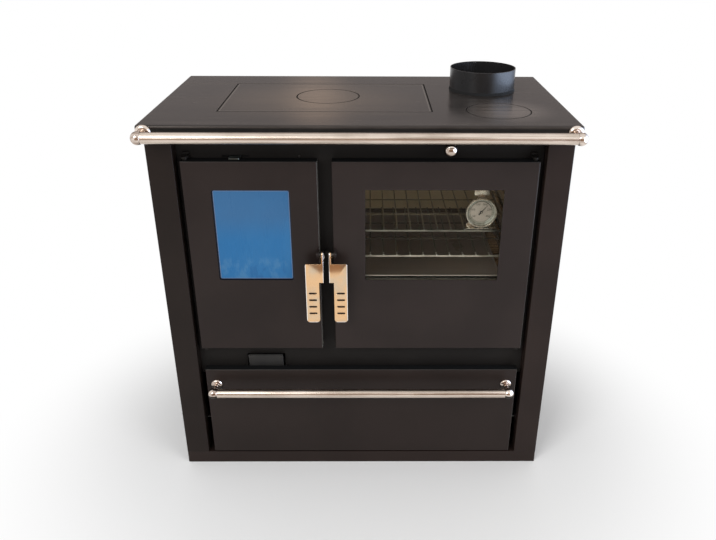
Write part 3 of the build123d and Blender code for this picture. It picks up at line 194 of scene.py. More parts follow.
# %% Materials
class Paint(Tree):
    """One material. Uniform values are set on the shader's own sockets."""

    BEVEL_SAMPLES = 4

    def __init__(self, name, **uniform):
        self.material = bpy.data.materials.new(name)
        self.material.use_nodes = True
        super().__init__(self.material.node_tree)
        self.shader = self.tree.nodes["Principled BSDF"]
        for words, value in uniform.items():
            self.shader.inputs[words.replace("_", " ").title().replace("Ior", "IOR")].default_value = value

    @classmethod
    def reopen(cls, material):
        """A material made earlier, to add to it."""
        paint = cls.__new__(cls)
        paint.material = material
        paint.tree = material.node_tree
        paint.shader = paint.tree.nodes["Principled BSDF"]
        return paint

    def fed(self, name):
        """What one of the shader's sockets is linked to so far."""
        return Val(self, self.shader.inputs[name].links[0].from_socket)

    def place(self, scale=(1, 1, 1), centre=(0, 0, 0)):
        """Object coordinates in metres, about a centre, then stretched."""
        here = self.node("ShaderNodeTexCoord").out("Object")
        moved = self.node("ShaderNodeMapping", {"vector_type": "POINT"},
                          {"Vector": here, "Location": tuple(-c for c in centre)})
        return self.node("ShaderNodeMapping", {"vector_type": "POINT"}, {"Vector": moved, "Scale": scale})

    def axes(self, **placing):
        """A place split into its outputs X, Y and Z."""
        return self.node("ShaderNodeSeparateXYZ", None, {0: self.place(**placing)})

    def distance(self, **placing):
        """How far a place is from the centre."""
        return self.node("ShaderNodeVectorMath", {"operation": "LENGTH"}, {0: self.place(**placing)}).out("Value")

    def noise(self, fineness, detail=4.0, rough=0.55, **placing):
        """Soft cloudy values around a half, with features about 1/fineness metres across."""
        return self.node("ShaderNodeTexNoise", None, {
            "Vector": self.place(**placing), "Scale": fineness, "Detail": detail, "Roughness": rough})

    def mix(self, factor, first, second):
        """A colour between two others."""
        return self.node("ShaderNodeMix", {"data_type": "RGBA"}, {0: factor, 6: first, 7: second})

    def done(self, colour=None, roughness=None, metallic=None, coat=None, height=None, relief=0.0, edge=0.0):
        """Links what varies. Height is a bump in units of relief metres; edge rounds sharp corners."""
        for name, value in (("Base Color", colour), ("Roughness", roughness), ("Metallic", metallic),
                            ("Coat Weight", coat)):
            if value is not None:
                self.feed(self.shader.inputs[name], value)
        normal = None
        if edge:
            normal = self.node("ShaderNodeBevel", {"samples": self.BEVEL_SAMPLES}, {"Radius": edge})
        if height is not None:
            links = {"Height": height, "Distance": relief, "Strength": 1.0}
            if normal is not None:
                links["Normal"] = normal
            normal = self.node("ShaderNodeBump", None, links)
        if normal is not None:
            self.feed(self.shader.inputs["Normal"], normal)
        return self.material

    def blend(self, share, first, second):
        """Puts a mix of two surfaces in place of the shader."""
        both = self.node("ShaderNodeMixShader", None, {0: share, 1: first, 2: second})
        self.tree.links.new(both.socket, self.tree.nodes["Material Output"].inputs["Surface"])
        return self.material


# %% [markdown]
# ## The floor
# The stove stands in a white studio. A large pale floor takes the soft shadow near the stove. Further out it turns
# to plain white wherever it is looked at, so its edge never shows against the background.

# %% Floor
FLOOR_SIZE = 14
FLOOR_DEPTH = 0.0005  # a hair under the plinth
SHADOW_MIDDLE = (0, -0.15, 0)
SHADOW_FULL, SHADOW_GONE = 0.46, 0.95  # metres out from there


def grey(value, warm=0.0):
    """An almost neutral colour, a little redder and less blue as warm grows."""
    return (value * (1 + warm), value, value * (1 - warm), 1.0)


bpy.ops.object.select_all(action="DESELECT")
bpy.ops.mesh.primitive_plane_add(size=FLOOR_SIZE, location=(0, 0, -FLOOR_DEPTH))
floor = bpy.context.object
floor.name = "floor"
floor_paint = Paint("floor_pale", roughness=0.9, specular_ior_level=0.0)
floor_paint.done(colour=grey(0.97))
outward = floor_paint.distance(scale=(1, 1.1, 0), centre=SHADOW_MIDDLE)
plain_white = floor_paint.node("ShaderNodeEmission", None, {"Color": grey(1.0), "Strength": 1.0})
pale = Val(floor_paint, floor_paint.shader.outputs[0])
floor_paint.blend(outward.ramp(SHADOW_FULL, SHADOW_GONE) * floor_paint.looked_at(), pale, plain_white)
floor.data.materials.append(floor_paint.material)
print("floor:", FLOOR_SIZE, "m, shadow up to", SHADOW_GONE, "m out")

# %% [markdown]
# ## World and lamps
# The world is white where the camera, a shiny surface or glass looks at it, and dimmer as a source of light, so
# that dark paint stays dark. Two broad lamps in front give the hob its sheen and model the front: a brighter one
# from the left, and a weaker one from the right that opens the shadows.

# %% World and lamps
WORLD_LIGHT = 0.62

world = bpy.data.worlds.new("studio")
bpy.context.scene.world = world
world.use_nodes = True
studio = Tree(world.node_tree)
backdrop = world.node_tree.nodes["Background"]
studio.feed(backdrop.inputs["Color"], grey(1.0))
studio.feed(backdrop.inputs["Strength"], studio.looked_at().ramp(0.0, 1.0, WORLD_LIGHT, 1.0))


def lamp(name, place, aim, size, watts):
    """A soft rectangular lamp that points at a place on the stove."""
    data = bpy.data.lights.new(name, "AREA")
    data.shape = "RECTANGLE"
    data.size, data.size_y = size
    data.energy = watts
    lamp_object = bpy.data.objects.new(name, data)
    bpy.context.scene.collection.objects.link(lamp_object)
    lamp_object.location = place
    lamp_object.rotation_euler = (Vector(aim) - Vector(place)).to_track_quat("-Z", "Y").to_euler()
    print(name, watts, "W")


lamp("key", place=(-1.6, -2.6, 2.6), aim=(0, -0.1, 0.5), size=(1.6, 1.6), watts=46)
lamp("fill", place=(2.2, -2.2, 1.6), aim=(0.1, -0.2, 0.5), size=(1.4, 1.8), watts=22)

# %% [markdown]
# ## Cards for the reflections
# Polished tube in an all-white room shows nothing but white. A photographer stands cards round the object and lets
# it mirror those: a brown card behind the camera gives every rail a darker band and every ball a dark spot, a
# warm grey one behind the stove carries the glow on the hob, and a cool bright one on the right puts a window's
# light on the spigot. They are part of the studio, and only mirror reflections see them.

# %% Studio cards
def tint(colour, share=1.0):
    """A colour as sockets take it, darker or paler by a share."""
    return tuple(c * share for c in colour) + (1,)


def studio_card(name, place, size, colour, turn=0.0, glow=(0, 0, 0), centre=(0, 0), reach=(1, 1)):
    """An upright card, seen in mirror reflections alone. A soft glow about a centre on it adds to its colour."""
    bpy.ops.object.select_all(action="DESELECT")
    bpy.ops.mesh.primitive_plane_add(size=1, location=place, rotation=(pi / 2, 0, turn))
    card = bpy.context.object
    card.name = name
    card.scale = size + (1,)
    paint = Paint(name, base_color=grey(0.0), roughness=1.0, specular_ior_level=0.0, emission_strength=1.0)
    away = paint.distance(scale=(size[0] / reach[0], size[1] / reach[1], 0),
                          centre=(centre[0] / size[0], centre[1] / size[1], 0))
    bright = tuple(c + g for c, g in zip(colour, glow))
    paint.feed(paint.shader.inputs["Emission Color"], paint.mix(away.ramp(1.0, 0.0), tint(colour), tint(bright)))
    card.data.materials.append(paint.material)
    card.visible_camera = card.visible_diffuse = card.visible_shadow = card.visible_transmission = False
    print(name, size)


studio_card("brown_card", place=(0, -2.6, 0.88), size=(3.4, 1.75), colour=(0.34, 0.23, 0.165))
studio_card("warm_card", place=(0, 2.6, 2.35), size=(7.0, 3.0), colour=(0.37, 0.33, 0.32),
            glow=(0.66, 0.45, 0.31), centre=(-0.296, -0.86), reach=(0.26, 0.30))
studio_card("cool_card", place=(1.5, -0.20, 0.90), size=(3.4, 1.8), colour=(0.5, 0.56, 0.70), turn=pi / 2,
            glow=(4.6, 5.6, 7.4), centre=(-0.55, -0.15), reach=(2.0, 1.25))

# %% [markdown]
# ## Painted steel
# The casing, the frame and the doors are sheet steel in satin heat-proof paint. A flat dark colour would look like
# card, so the finish has a fine orange peel as a bump, and colour and sheen that drift over a hand's width. A Bevel
# node rounds the sheets' edges in the light, as folding and paint do on real sheet.
#
# A painted highlight runs along the doors' and the drawer's right and top edges, and painted shade lies on the
# ledges along their tops. `edged_paint` finds those edges from the node's own box.

# %% Painted steel
BODY_SHEEN = 0.36
CLOUD = 0.10
SHEET_EDGE = 0.0012
EDGE_STRIP = (-0.0011, -0.0006)  # from the box's side or top: where the painted highlight begins and is full
LEDGE_TOP, LEDGE_BACK = (-0.0006, -0.0002), (0.0010, 0.0016)  # below the box's top, and behind its front
EDGE_HIGHLIGHT_PAINT = (0.125, 0.120, 0.108, 1)
LEDGE_SHADE = (0.002, 0.002, 0.002, 1)


def stove_paint(name, colour, sheen, gloss=0.16):
    """Satin heat-proof paint on sheet: fine orange peel, and sheen that drifts over a hand's width."""
    paint = Paint(name, specular_ior_level=gloss)
    drift = paint.noise(5.0, 3.0)
    speck = paint.noise(900.0, 2.0)
    peel = paint.noise(420.0, 3.0, 0.6)
    tone = paint.mix(drift.ramp(0.35, 0.65), tint(colour, 1 - CLOUD), tint(colour, 1 + CLOUD))
    rough = sheen + drift.swing(0.10) + speck.swing(0.06)
    return paint.done(colour=tone, roughness=rough, height=peel, relief=0.00010, edge=SHEET_EDGE)


def edged_paint(node, colour):
    """Body paint on a door or drawer front, with a painted highlight along its right and top edges and painted shade
    on the ledge on its top.
    """
    paint = Paint.reopen(stove_paint(node + "_paint", colour, BODY_SHEEN))
    low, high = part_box(node)
    here = paint.axes(centre=high)
    wear_and_sheen = paint.noise(30.0, 3.0)
    # painted highlight along the right edge and the top edge
    side = here.out("X").ramp(*EDGE_STRIP) * (0.6 + wear_and_sheen * 0.5)
    top = here.out("Z").ramp(*EDGE_STRIP) * (0.1 + wear_and_sheen * 0.4)
    tone = paint.mix(side.at_least(top), paint.fed("Base Color"), EDGE_HIGHLIGHT_PAINT)
    # painted shade on the ledge behind the top's front edge
    behind_front = here.out("Y").ramp(*(low[1] - high[1] + depth for depth in LEDGE_BACK))
    ledge = here.out("Z").ramp(*LEDGE_TOP) * behind_front
    paint.feed(paint.shader.inputs["Base Color"], paint.mix(ledge, tone, LEDGE_SHADE))
    paint.feed(paint.shader.inputs["Roughness"], paint.fed("Roughness") + ledge * 0.5)
    return paint.material


body_paint = stove_paint("body_paint", (0.0215, 0.0135, 0.0112), BODY_SHEEN)
# The left side panel is the body paint darker, and the firebox door's colour is darker than the oven door's: both are
# painted shade.
left_shaded_paint = stove_paint("left_shaded_paint", (0.0150, 0.0098, 0.0078), 0.40)
frame_paint = stove_paint("frame_paint", (0.0178, 0.0158, 0.0146), 0.5, gloss=0.08)
dark_sheet = stove_paint("dark_sheet", (0.016, 0.015, 0.014), 0.62, gloss=0.10)
firebox_door_paint = edged_paint("firebox_door_panel", (0.0212, 0.0145, 0.0128))
oven_door_paint = edged_paint("oven_door_panel", (0.0240, 0.0170, 0.0152))
drawer_paint = edged_paint("drawer_front", (0.0208, 0.0142, 0.0122))
print("paints on sheet:", sum("paint" in material.name for material in bpy.data.materials))

# %% [markdown]
# ## Oven enamel
# The oven is a box of enamelled sheet. Its enamel is brown low down and pale above a height, with a dark line across
# it at the foot of that change, and smoke has blackened the box on its outside. An unwrapped picture could carry all
# this, but ramps along the height need no unwrapping, and they stay sharp at any size.

# %% Oven enamel
PALE_ABOVE = (0.492, 0.503)
DARK_LINE_TOP, DARK_LINE_FOOT = (0.496, 0.492), (0.486, 0.490)
BOX_OUTSIDE = (0.7462, 0.7470)  # the ceiling's sheet: its underside is inside the oven, its top is not
BROWN_ENAMEL, PALE_ENAMEL = (0.30, 0.245, 0.225, 1), (0.86, 0.73, 0.54, 1)
SMOKED_SHEET = (0.008, 0.0075, 0.007, 1)
BAKED_GREASE = (0.09, 0.07, 0.055, 1)


def oven_lining():
    """Grey-brown enamel: brown low down, pale above a dark line across, and black outside the box."""
    paint = Paint("oven_enamel", specular_ior_level=0.2)
    drift = paint.noise(5.0, 3.0)
    grease = paint.noise(22.0, 5.0, 0.6)
    height = paint.axes().out("Z")
    tone = paint.mix(height.ramp(*PALE_ABOVE), BROWN_ENAMEL, PALE_ENAMEL)
    tone = paint.mix(height.ramp(*BOX_OUTSIDE), tone, SMOKED_SHEET)
    seam = height.ramp(*DARK_LINE_TOP) * height.ramp(*DARK_LINE_FOOT)
    stain = seam * 0.7 + drift.ramp(0.45, 0.75) * 0.15 + grease.ramp(0.5, 0.8) * 0.15
    tone = paint.mix(stain, tone, BAKED_GREASE)
    return paint.done(colour=tone, roughness=0.30 + drift.swing(0.12) + grease.swing(0.1), edge=SHEET_EDGE)


oven_enamel = oven_lining()
print("oven enamel: pale from", PALE_ABOVE[1], "m up")

# %% [markdown]
# ## The hob's iron
# The top is ground flat and seasoned. Grinding leaves a haze that runs from side to side, seasoning leaves soft
# clouds, the iron over the fire and round the cover has browned with heat, and soot sits in the seams. The plate is
# smooth enough to mirror the flue spigot as a dark blur. The seams' distances are worked out in the shader from the
# loose pieces' own boxes, so the soot follows them exactly.

# %% Hob iron
HOB_TOP = 0.835
FRESH_IRON, SEASONED_IRON = (0.026, 0.022, 0.0205, 1), (0.038, 0.032, 0.0295, 1)
FIRE_BROWN, FLUE_BROWN = (0.135, 0.098, 0.070, 1), (0.250, 0.210, 0.188, 1)
GROUND_IRON = (0.058, 0.050, 0.046, 1)
PALE_STROKE, DARK_STROKE = (0.095, 0.080, 0.070, 1), (0.012, 0.010, 0.009, 1)
IRON_EDGE_HIGHLIGHT = (0.300, 0.258, 0.226, 1)
RIM_IRON = (0.0100, 0.0105, 0.0105, 1)
SEAM_SOOT = (0.004, 0.0035, 0.003, 1)
FIRE_MIDDLE, FIRE_SCALE = (-0.10, -0.02, 0), (3.6, 4.4, 0)
SOOT_REACH = (0.0024, 0.0008)
HOB_HIGHLIGHT_OUTER, HOB_HIGHLIGHT_INNER = (-0.0026, -0.0032), (-0.0056, -0.0044)  # the painted highlight, just inside the insert's edge


def middle(low, high):
    """The middle of a box."""
    return tuple((a + b) / 2 for a, b in zip(low, high))


def beyond(here, **halves):
    """Metres outside a rectangle with these half sizes along two axes. It is below zero inside."""
    first, second = (abs(here.out(axis)) - half for axis, half in halves.items())
    return first.at_least(second)


def seam_distance(paint):
    """Metres to the nearest seam round the insert, the lid and the cover, and metres outside the insert."""
    low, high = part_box("hob_insert")
    outside = beyond(paint.axes(centre=middle(low, high)), X=(high[0] - low[0]) / 2, Y=(high[1] - low[1]) / 2)
    nearest = abs(outside)
    for name in ("hob_lid", "cleaning_cover"):
        low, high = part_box(name)
        away = paint.distance(scale=(1, 1, 0), centre=middle(low, high)) - (high[0] - low[0]) / 2
        nearest = nearest.at_most(abs(away))
    return nearest, outside


def hob_iron():
    """Ground and seasoned iron: side-to-side haze, clouds, browning over the fire, soot along the seams."""
    paint = Paint("hob_iron", specular_ior_level=0.30, specular_tint=(1.0, 0.88, 0.80, 1))
    clouds = paint.noise(5.5, 4.0)
    ground = paint.noise(60.0, 5.0, 0.7, scale=(0.35, 6.0, 1.0))
    strokes = paint.noise(9.0, 4.0, 0.65, scale=(0.25, 6.0, 1.0))
    pores = paint.noise(1400.0, 2.0)
    tone = paint.mix(clouds.ramp(0.36, 0.66), FRESH_IRON, SEASONED_IRON)

    over_fire = paint.distance(scale=FIRE_SCALE, centre=FIRE_MIDDLE).ramp(1.0, 0.0)
    tone = paint.mix(over_fire * (0.35 + clouds * 0.4 + ground * 0.6), tone, FIRE_BROWN)
    cover_x, cover_y, _ = middle(*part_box("cleaning_cover"))
    by_flue = paint.distance(scale=(9, 9, 0), centre=(cover_x + 0.02, cover_y, 0)).ramp(1.0, 0.2)
    tone = paint.mix(by_flue * (0.3 + ground * 0.6), tone, FLUE_BROWN)

    tone = paint.mix(ground.ramp(0.40, 0.75) * 0.35, tone, GROUND_IRON)
    tone = paint.mix(strokes.ramp(0.50, 0.68) * 0.40, tone, PALE_STROKE)
    tone = paint.mix(strokes.ramp(0.48, 0.34) * 0.35, tone, DARK_STROKE)

    seam, outside = seam_distance(paint)
    # a painted highlight along the insert's rounded rim, just inside its edge
    edge_highlight = outside.ramp(*HOB_HIGHLIGHT_OUTER) * outside.ramp(*HOB_HIGHLIGHT_INNER)
    tone = paint.mix(edge_highlight * (0.15 + ground * 0.5), tone, IRON_EDGE_HIGHLIGHT)
    rim = paint.axes().out("Z").ramp(HOB_TOP - 0.0040, HOB_TOP - 0.0075)
    tone = paint.mix(rim * 0.8, tone, RIM_IRON)
    soot = seam.ramp(*SOOT_REACH)
    tone = paint.mix(soot * 0.9, tone, SEAM_SOOT)

    rough = 0.21 + clouds.swing(0.08) + ground.swing(0.14) + strokes.swing(0.36) + soot * 0.5
    return paint.done(colour=tone, roughness=rough, height=ground * 0.4 + pores * 0.6, relief=0.00003, edge=0.0009)


hob = hob_iron()
print("hob iron:", len(hob.node_tree.nodes), "nodes")

# %% [markdown]
# ## Rough castings
# The grate, the log guard and the air flap come straight out of sand and are never ground. Two noises tell them from
# the hob: a broad one clouds the colour, and a fine one gives the grain of the sand as a bump and in the sheen.

# %% Rough castings
def rough_casting():
    """Cast iron with the skin of its sand mould."""
    paint = Paint("grate_iron", specular_ior_level=0.25)
    clouds = paint.noise(30.0, 4.0)
    sand = paint.noise(650.0, 6.0, 0.65)
    tone = paint.mix(clouds, (0.024, 0.023, 0.022, 1), (0.044, 0.041, 0.038, 1))
    return paint.done(colour=tone, roughness=0.55 + sand * 0.2, height=sand, relief=0.0005, edge=0.0008)


casting = rough_casting()
print("casting:", casting.name)

# %% [markdown]
# ## Spigot paint
# The flue spigot is sprayed with a smoother, blue-black stove paint, and it is dark where it meets the hob: soot, and
# painted shade in the corner.
# The body's paint would do but for its coarser peel, which breaks up the long soft light on a curved wall.

# %% Spigot paint
def spigot_paint():
    """Blue-black stove paint on the spigot, a little glossier than the body's."""
    paint = Paint("spigot_paint", specular_ior_level=0.42)
    drift = paint.noise(16.0, 3.0)
    peel = paint.noise(420.0, 3.0, 0.6)
    tone = paint.mix(drift, (0.0120, 0.0115, 0.0118, 1), (0.0180, 0.0175, 0.0185, 1))
    # darker and rougher at the foot: soot, and painted shade where the spigot meets the hob
    soot = paint.axes(centre=(0, 0, HOB_TOP)).out("Z").ramp(0.0070, 0.0050)
    tone = paint.mix(soot, tone, (0.003, 0.003, 0.003, 1))
    rough = 0.28 + drift.swing(0.10) + soot * 0.6
    return paint.done(colour=tone, roughness=rough, height=peel, relief=0.00006, edge=0.0008)


spigot_blue = spigot_paint()
print("spigot:", spigot_blue.name)

# %% [markdown]
# ## Bright metals
# Rails, knob, screws and the galvanised sheets inside are bare or plated metal. What tells them apart is how bright
# and how polished they are, so one function makes them all: two noises, one of them stretched along the
# polishing marks, move the colour between a bright and a dull tone, and the roughness with it.
#
# The chrome of the drawer rail's brackets gets a dark band over the lower half of their rosettes: a painted
# reflection of the dark drawer front below.

# %% Bright metals
METAL_EDGE = 0.0008
CHROME_BRIGHT, CHROME_DULL = (0.80, 0.70, 0.62), (0.40, 0.31, 0.255)
ALONG_X = (0.02, 1, 1)
DARK_REFLECTION = (0.045, 0.038, 0.032, 1)
BAND_TOP, BAND_FOOT = (-0.0115, -0.0135), (-0.0250, -0.0235)  # of the painted dark reflection, below the brackets' top


def bright_metal(name, bright, dull, rough, streaks=(1, 1, 1)):
    """Plated or plain metal. Streaks stretch the polishing marks along a direction."""
    paint = Paint(name, metallic=1.0)
    smear = paint.noise(9.0, 3.0)
    lines = paint.noise(150.0, 3.0, 0.6, scale=streaks)
    tone = paint.mix((lines + smear.swing(0.5)).ramp(0.36, 0.62), tint(dull), tint(bright))
    rougher = rough + lines.swing(rough * 0.6) + smear.swing(0.03)
    return paint.done(colour=tone, roughness=rougher, edge=METAL_EDGE)


def rosette_chrome():
    """Chrome on the drawer rail's brackets, with a painted dark reflection in the lower half of their rosettes."""
    paint = Paint.reopen(bright_metal("rosette_chrome", CHROME_BRIGHT, CHROME_DULL, 0.10))
    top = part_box("drawer_rail_brackets")[1][2]
    height = paint.axes(centre=(0, 0, top)).out("Z")
    lower = height.ramp(*BAND_TOP) * height.ramp(*BAND_FOOT)
    paint.feed(paint.shader.inputs["Base Color"], paint.mix(lower, paint.fed("Base Color"), DARK_REFLECTION))
    return paint.material


chrome = bright_metal("chrome_plate", CHROME_BRIGHT, CHROME_DULL, 0.10, ALONG_X)
tube_chrome = bright_metal("tube_chrome", (0.76, 0.655, 0.565), (0.49, 0.405, 0.335), 0.27, ALONG_X)
bracket_chrome = rosette_chrome()
nickel = bright_metal("nickel_steel", (0.90, 0.745, 0.60), (0.83, 0.66, 0.50), 0.24)
case_steel = bright_metal("case_steel", (0.72, 0.67, 0.62), (0.55, 0.51, 0.47), 0.26)
screw_steel = bright_metal("steel_screw", (0.50, 0.48, 0.45), (0.36, 0.35, 0.33), 0.35)
zinc = bright_metal("zinc_sheet", (0.42, 0.41, 0.39), (0.30, 0.29, 0.28), 0.40)
dark_steel = bright_metal("dark_steel", (0.085, 0.080, 0.075), (0.04, 0.038, 0.036), 0.45)
print("metals so far:", chrome.name, tube_chrome.name, nickel.name, case_steel.name, zinc.name)

# %% [markdown]
# ## Nickel on the levers
# The levers are nickel-plated. Warm patches at random are a painted reflection of warm surroundings, and a painted
# highlight runs along their rims.
# Both levers share one finish: it measures from the middle between them, so the rims of the two mirror each other.

# %% Lever nickel
LEVER_HIGHLIGHT_OUTER, LEVER_HIGHLIGHT_INNER, LEVER_HIGHLIGHT_FOOT = (0.0017, 0.0009), (0.0016, 0.0008), (0.0018, 0.0010)  # in from each edge


def lever_nickel():
    """Nickel on the levers: warm patches of painted reflection, and a painted highlight along their edges."""
    paint = Paint("lever_nickel", metallic=1.0)
    patch = paint.noise(22.0, 2.0)
    lines = paint.noise(260.0, 3.0, 0.6)
    tone = paint.mix(patch.ramp(0.36, 0.64), (0.68, 0.53, 0.37, 1), (0.83, 0.53, 0.29, 1))
    left_box, right_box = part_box("firebox_door_handle"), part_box("oven_door_handle")
    between = (left_box[0][0] + right_box[1][0]) / 2
    here = paint.axes(centre=(between, 0, left_box[0][2]))
    aside = abs(here.out("X"))
    inner, outer = right_box[0][0] - between, right_box[1][0] - between
    # painted highlight along the levers' rims and foot
    edge_highlight = aside.ramp(*(outer - strip for strip in LEVER_HIGHLIGHT_OUTER)) + aside.ramp(*(inner + strip for strip in LEVER_HIGHLIGHT_INNER))
    edge_highlight = edge_highlight + here.out("Z").ramp(*LEVER_HIGHLIGHT_FOOT)
    tone = paint.mix(edge_highlight, tone, (0.96, 0.90, 0.84, 1))
    return paint.done(colour=tone, roughness=0.20 + patch.swing(0.1) + lines.swing(0.06), edge=METAL_EDGE)


levers = lever_nickel()
print("levers:", levers.name)

# %% [markdown]
# ## Steel that changes along its length
# Three pieces of steel are bright at one end only. Rack wires are brighter in front and darker further in. The air
# slider is bare on its tab and dark behind the fascia, as painted shade. The rolled edge under the oven window is
# bare above and black below, as painted shade. One ramp along an axis places each change.

# %% Racks, slider and bead
FRONT_DEPTH = (-0.1625, -0.1570)
TAB_DEPTH = (-0.1965, -0.2000)
BEAD_BARE_FROM = 0.4966


def rack_metal(name, bright, brown):
    """Rack wire: brighter along the front, and darker further in."""
    paint = Paint(name, metallic=1.0)
    smear = paint.noise(40.0, 4.0, 0.6, scale=(0.5, 1, 1))
    further_in = paint.axes().out("Y").ramp(*FRONT_DEPTH)
    tone = paint.mix(smear.ramp(0.35, 0.6), tint(bright, 0.6), tint(bright))
    tone = paint.mix(further_in, tone, tint(brown))
    return paint.done(colour=tone, roughness=0.26 + smear * 0.15, metallic=1.0 - further_in * 0.7, edge=METAL_EDGE)


def sliding_steel():
    """The air slider: bare where fingers rub its tab, and dark behind the fascia as painted shade of the recess."""
    paint = Paint("air_slider_steel", specular_ior_level=0.2)
    wear_and_sheen = paint.noise(60.0, 3.0)
    bare = paint.axes().out("Y").ramp(*TAB_DEPTH)
    # dark behind the fascia: painted shade of the recess
    tone = paint.mix(bare, (0.010, 0.010, 0.010, 1), (0.190, 0.215, 0.200, 1))
    return paint.done(colour=tone, roughness=0.42 + wear_and_sheen.swing(0.15), metallic=bare, edge=0.0005)


def bare_edge(bottom):
    """Bare bright steel on the liner's rolled edge; below a height it is black, as painted shade."""
    paint = Paint("bare_edge", specular_ior_level=0.1)
    wear_and_sheen = paint.noise(60.0, 3.0)
    bare = paint.axes(centre=(0, 0, bottom)).out("Z").ramp(0.0, 0.0003)
    bright = paint.mix(wear_and_sheen, (0.82, 0.78, 0.75, 1), (0.96, 0.92, 0.89, 1))
    # black below the height: painted shade under the bead
    tone = paint.mix(bare, (0.003, 0.003, 0.003, 1), bright)
    return paint.done(colour=tone, roughness=0.34 + wear_and_sheen.swing(0.1), metallic=bare)


lower_wire = rack_metal("lower_wire", (0.96, 0.92, 0.88), (0.110, 0.092, 0.074))
upper_wire = rack_metal("upper_wire", (0.34, 0.33, 0.31), (0.255, 0.215, 0.160))
slider_steel = sliding_steel()
bead_steel = bare_edge(BEAD_BARE_FROM)
print("racks bright up to", FRONT_DEPTH[0], "m deep, slider up to", TAB_DEPTH[1], "m")

# %% [markdown]
# ## Glass and film
# Clear glass shows what is behind it and mirrors a little. Real refraction through a thin pane costs many samples
# and changes nothing here, so the pane is a Transparent shader with a share of gloss that a Fresnel node raises
# towards grazing. The firebox pane is dark ceramic glass, and a blue protective film lies on it: greyer above as a
# painted reflection, with pale wrinkles low down that are partly painted reflection, and a painted highlight on its
# cut edge.

# %% Glass and film
WINDOW_LOW, WINDOW_HIGH = (-0.300, 0.497), (-0.142, 0.700)  # X and Z of the firebox door's opening
FILM_INSET = 0.0026
FILM_MIDDLE = ((WINDOW_LOW[0] + WINDOW_HIGH[0]) / 2, 0, (WINDOW_LOW[1] + WINDOW_HIGH[1]) / 2)
FILM_HALF = tuple((high - low) / 2 - FILM_INSET for low, high in zip(WINDOW_LOW, WINDOW_HIGH))
GLASS_IOR = 1.45


def clear_glass(name, tinge, reflect):
    """Flat glass: clear face on, and more of a mirror towards grazing."""
    paint = Paint(name, roughness=0.03, metallic=0.0)
    clear = paint.node("ShaderNodeBsdfTransparent", None, {"Color": tinge})
    edge_on = paint.node("ShaderNodeFresnel", None, {"IOR": GLASS_IOR})
    smear = paint.noise(18.0, 3.0)
    gloss = paint.node("ShaderNodeBsdfGlossy", None, {"Color": (0.95, 0.92, 0.88, 1), "Roughness": 0.04})
    return paint.blend(edge_on * reflect + smear.ramp(0.45, 0.8) * 0.003, clear, gloss)


def filmed_glass():
    """The blue protective film: greyer above as a painted reflection, pale wrinkles low down partly painted
    reflection, and a painted highlight along its cut edge.
    """
    paint = Paint("filmed_glass", specular_ior_level=0.2, coat_roughness=0.08)
    drift = paint.noise(9.0, 3.0, scale=(1.4, 1, 0.7))
    pull = paint.noise(26.0, 4.0, 0.6, scale=(2.2, 1, 0.35))
    wrinkles = paint.noise(30.0, 3.0, 0.6, scale=(1.6, 1, 0.8))
    here = paint.axes(centre=FILM_MIDDLE)
    # greyer towards the top: a painted reflection
    tone = paint.mix(here.out("Z").ramp(-0.02, 0.05), (0.019, 0.136, 0.330, 1), (0.036, 0.128, 0.278, 1))
    tone = paint.mix(drift.ramp(0.45, 0.75) * 0.5, tone, (0.034, 0.160, 0.350, 1))
    low_down = here.out("Z").ramp(-0.045, -0.060)
    # pale blotches low down: wrinkles in the film, partly painted reflection
    tone = paint.mix(wrinkles.ramp(0.50, 0.66) * low_down * 0.28, tone, (0.110, 0.250, 0.400, 1))
    tone = paint.mix(wrinkles.ramp(0.46, 0.38) * low_down * 0.35, tone, (0.008, 0.075, 0.220, 1))
    # a painted highlight along the film's cut edge
    film_highlight = beyond(here, X=FILM_HALF[0], Z=FILM_HALF[1]).ramp(-0.0016, -0.0008)
    tone = paint.mix(film_highlight * 0.75, tone, (0.170, 0.230, 0.380, 1))
    return paint.done(colour=tone, roughness=0.22 + pull * 0.14, coat=0.02 + drift * 0.06, height=pull, relief=0.0005)


def ceramic_glass():
    """The dark ceramic glass under the film, which shows as a thin line round it."""
    paint = Paint("ceramic_glass", specular_ior_level=0.3)
    haze = paint.noise(40.0, 3.0)
    tone = paint.mix(haze, (0.004, 0.010, 0.024, 1), (0.008, 0.016, 0.034, 1))
    return paint.done(colour=tone, roughness=0.10 + haze * 0.06)


oven_glass = clear_glass("clear_glass", (0.90, 0.90, 0.86, 1), 0.10)
lens_glass = clear_glass("lens_glass", (0.97, 0.98, 0.98, 1), 0.25)
blue_film = filmed_glass()
door_ceramic = ceramic_glass()
print("film:", [round(2 * half, 4) for half in FILM_HALF])

# %% [markdown]
# ## Bricks and fibre
# Fire bricks are coarse, pale clay with dark grit, and the seals are glass fibre. Both are dull, so their look is
# nearly all bump: a strong fine one on the brick, and a soft fuzz on the fibre.

# %% Bricks and fibre
def firebrick_face():
    """Pale fireclay with darker grit."""
    paint = Paint("firebrick", specular_ior_level=0.2)
    clouds = paint.noise(14.0, 5.0)
    grit = paint.noise(380.0, 5.0, 0.7)
    tone = paint.mix(clouds.ramp(0.3, 0.7), (0.44, 0.33, 0.21, 1), (0.62, 0.50, 0.36, 1))
    spots = paint.mix(grit.ramp(0.60, 0.72), tone, (0.24, 0.17, 0.11, 1))
    return paint.done(colour=spots, roughness=0.85 + grit.swing(0.1), height=grit, relief=0.0008, edge=0.001)


def fibre(name, value):
    """Sooted glass fibre with a soft fuzz."""
    paint = Paint(name, specular_ior_level=0.15)
    fuzz = paint.noise(700.0, 4.0, 0.7)
    tone = paint.mix(fuzz, grey(value * 0.6), grey(value * 1.4))
    return paint.done(colour=tone, roughness=0.9 + fuzz.swing(0.1), height=fuzz, relief=0.0006)


brick = firebrick_face()
rope = fibre("rope", 0.10)
tape = fibre("tape", 0.08)
print("dull finishes:", brick.name, rope.name, tape.name)

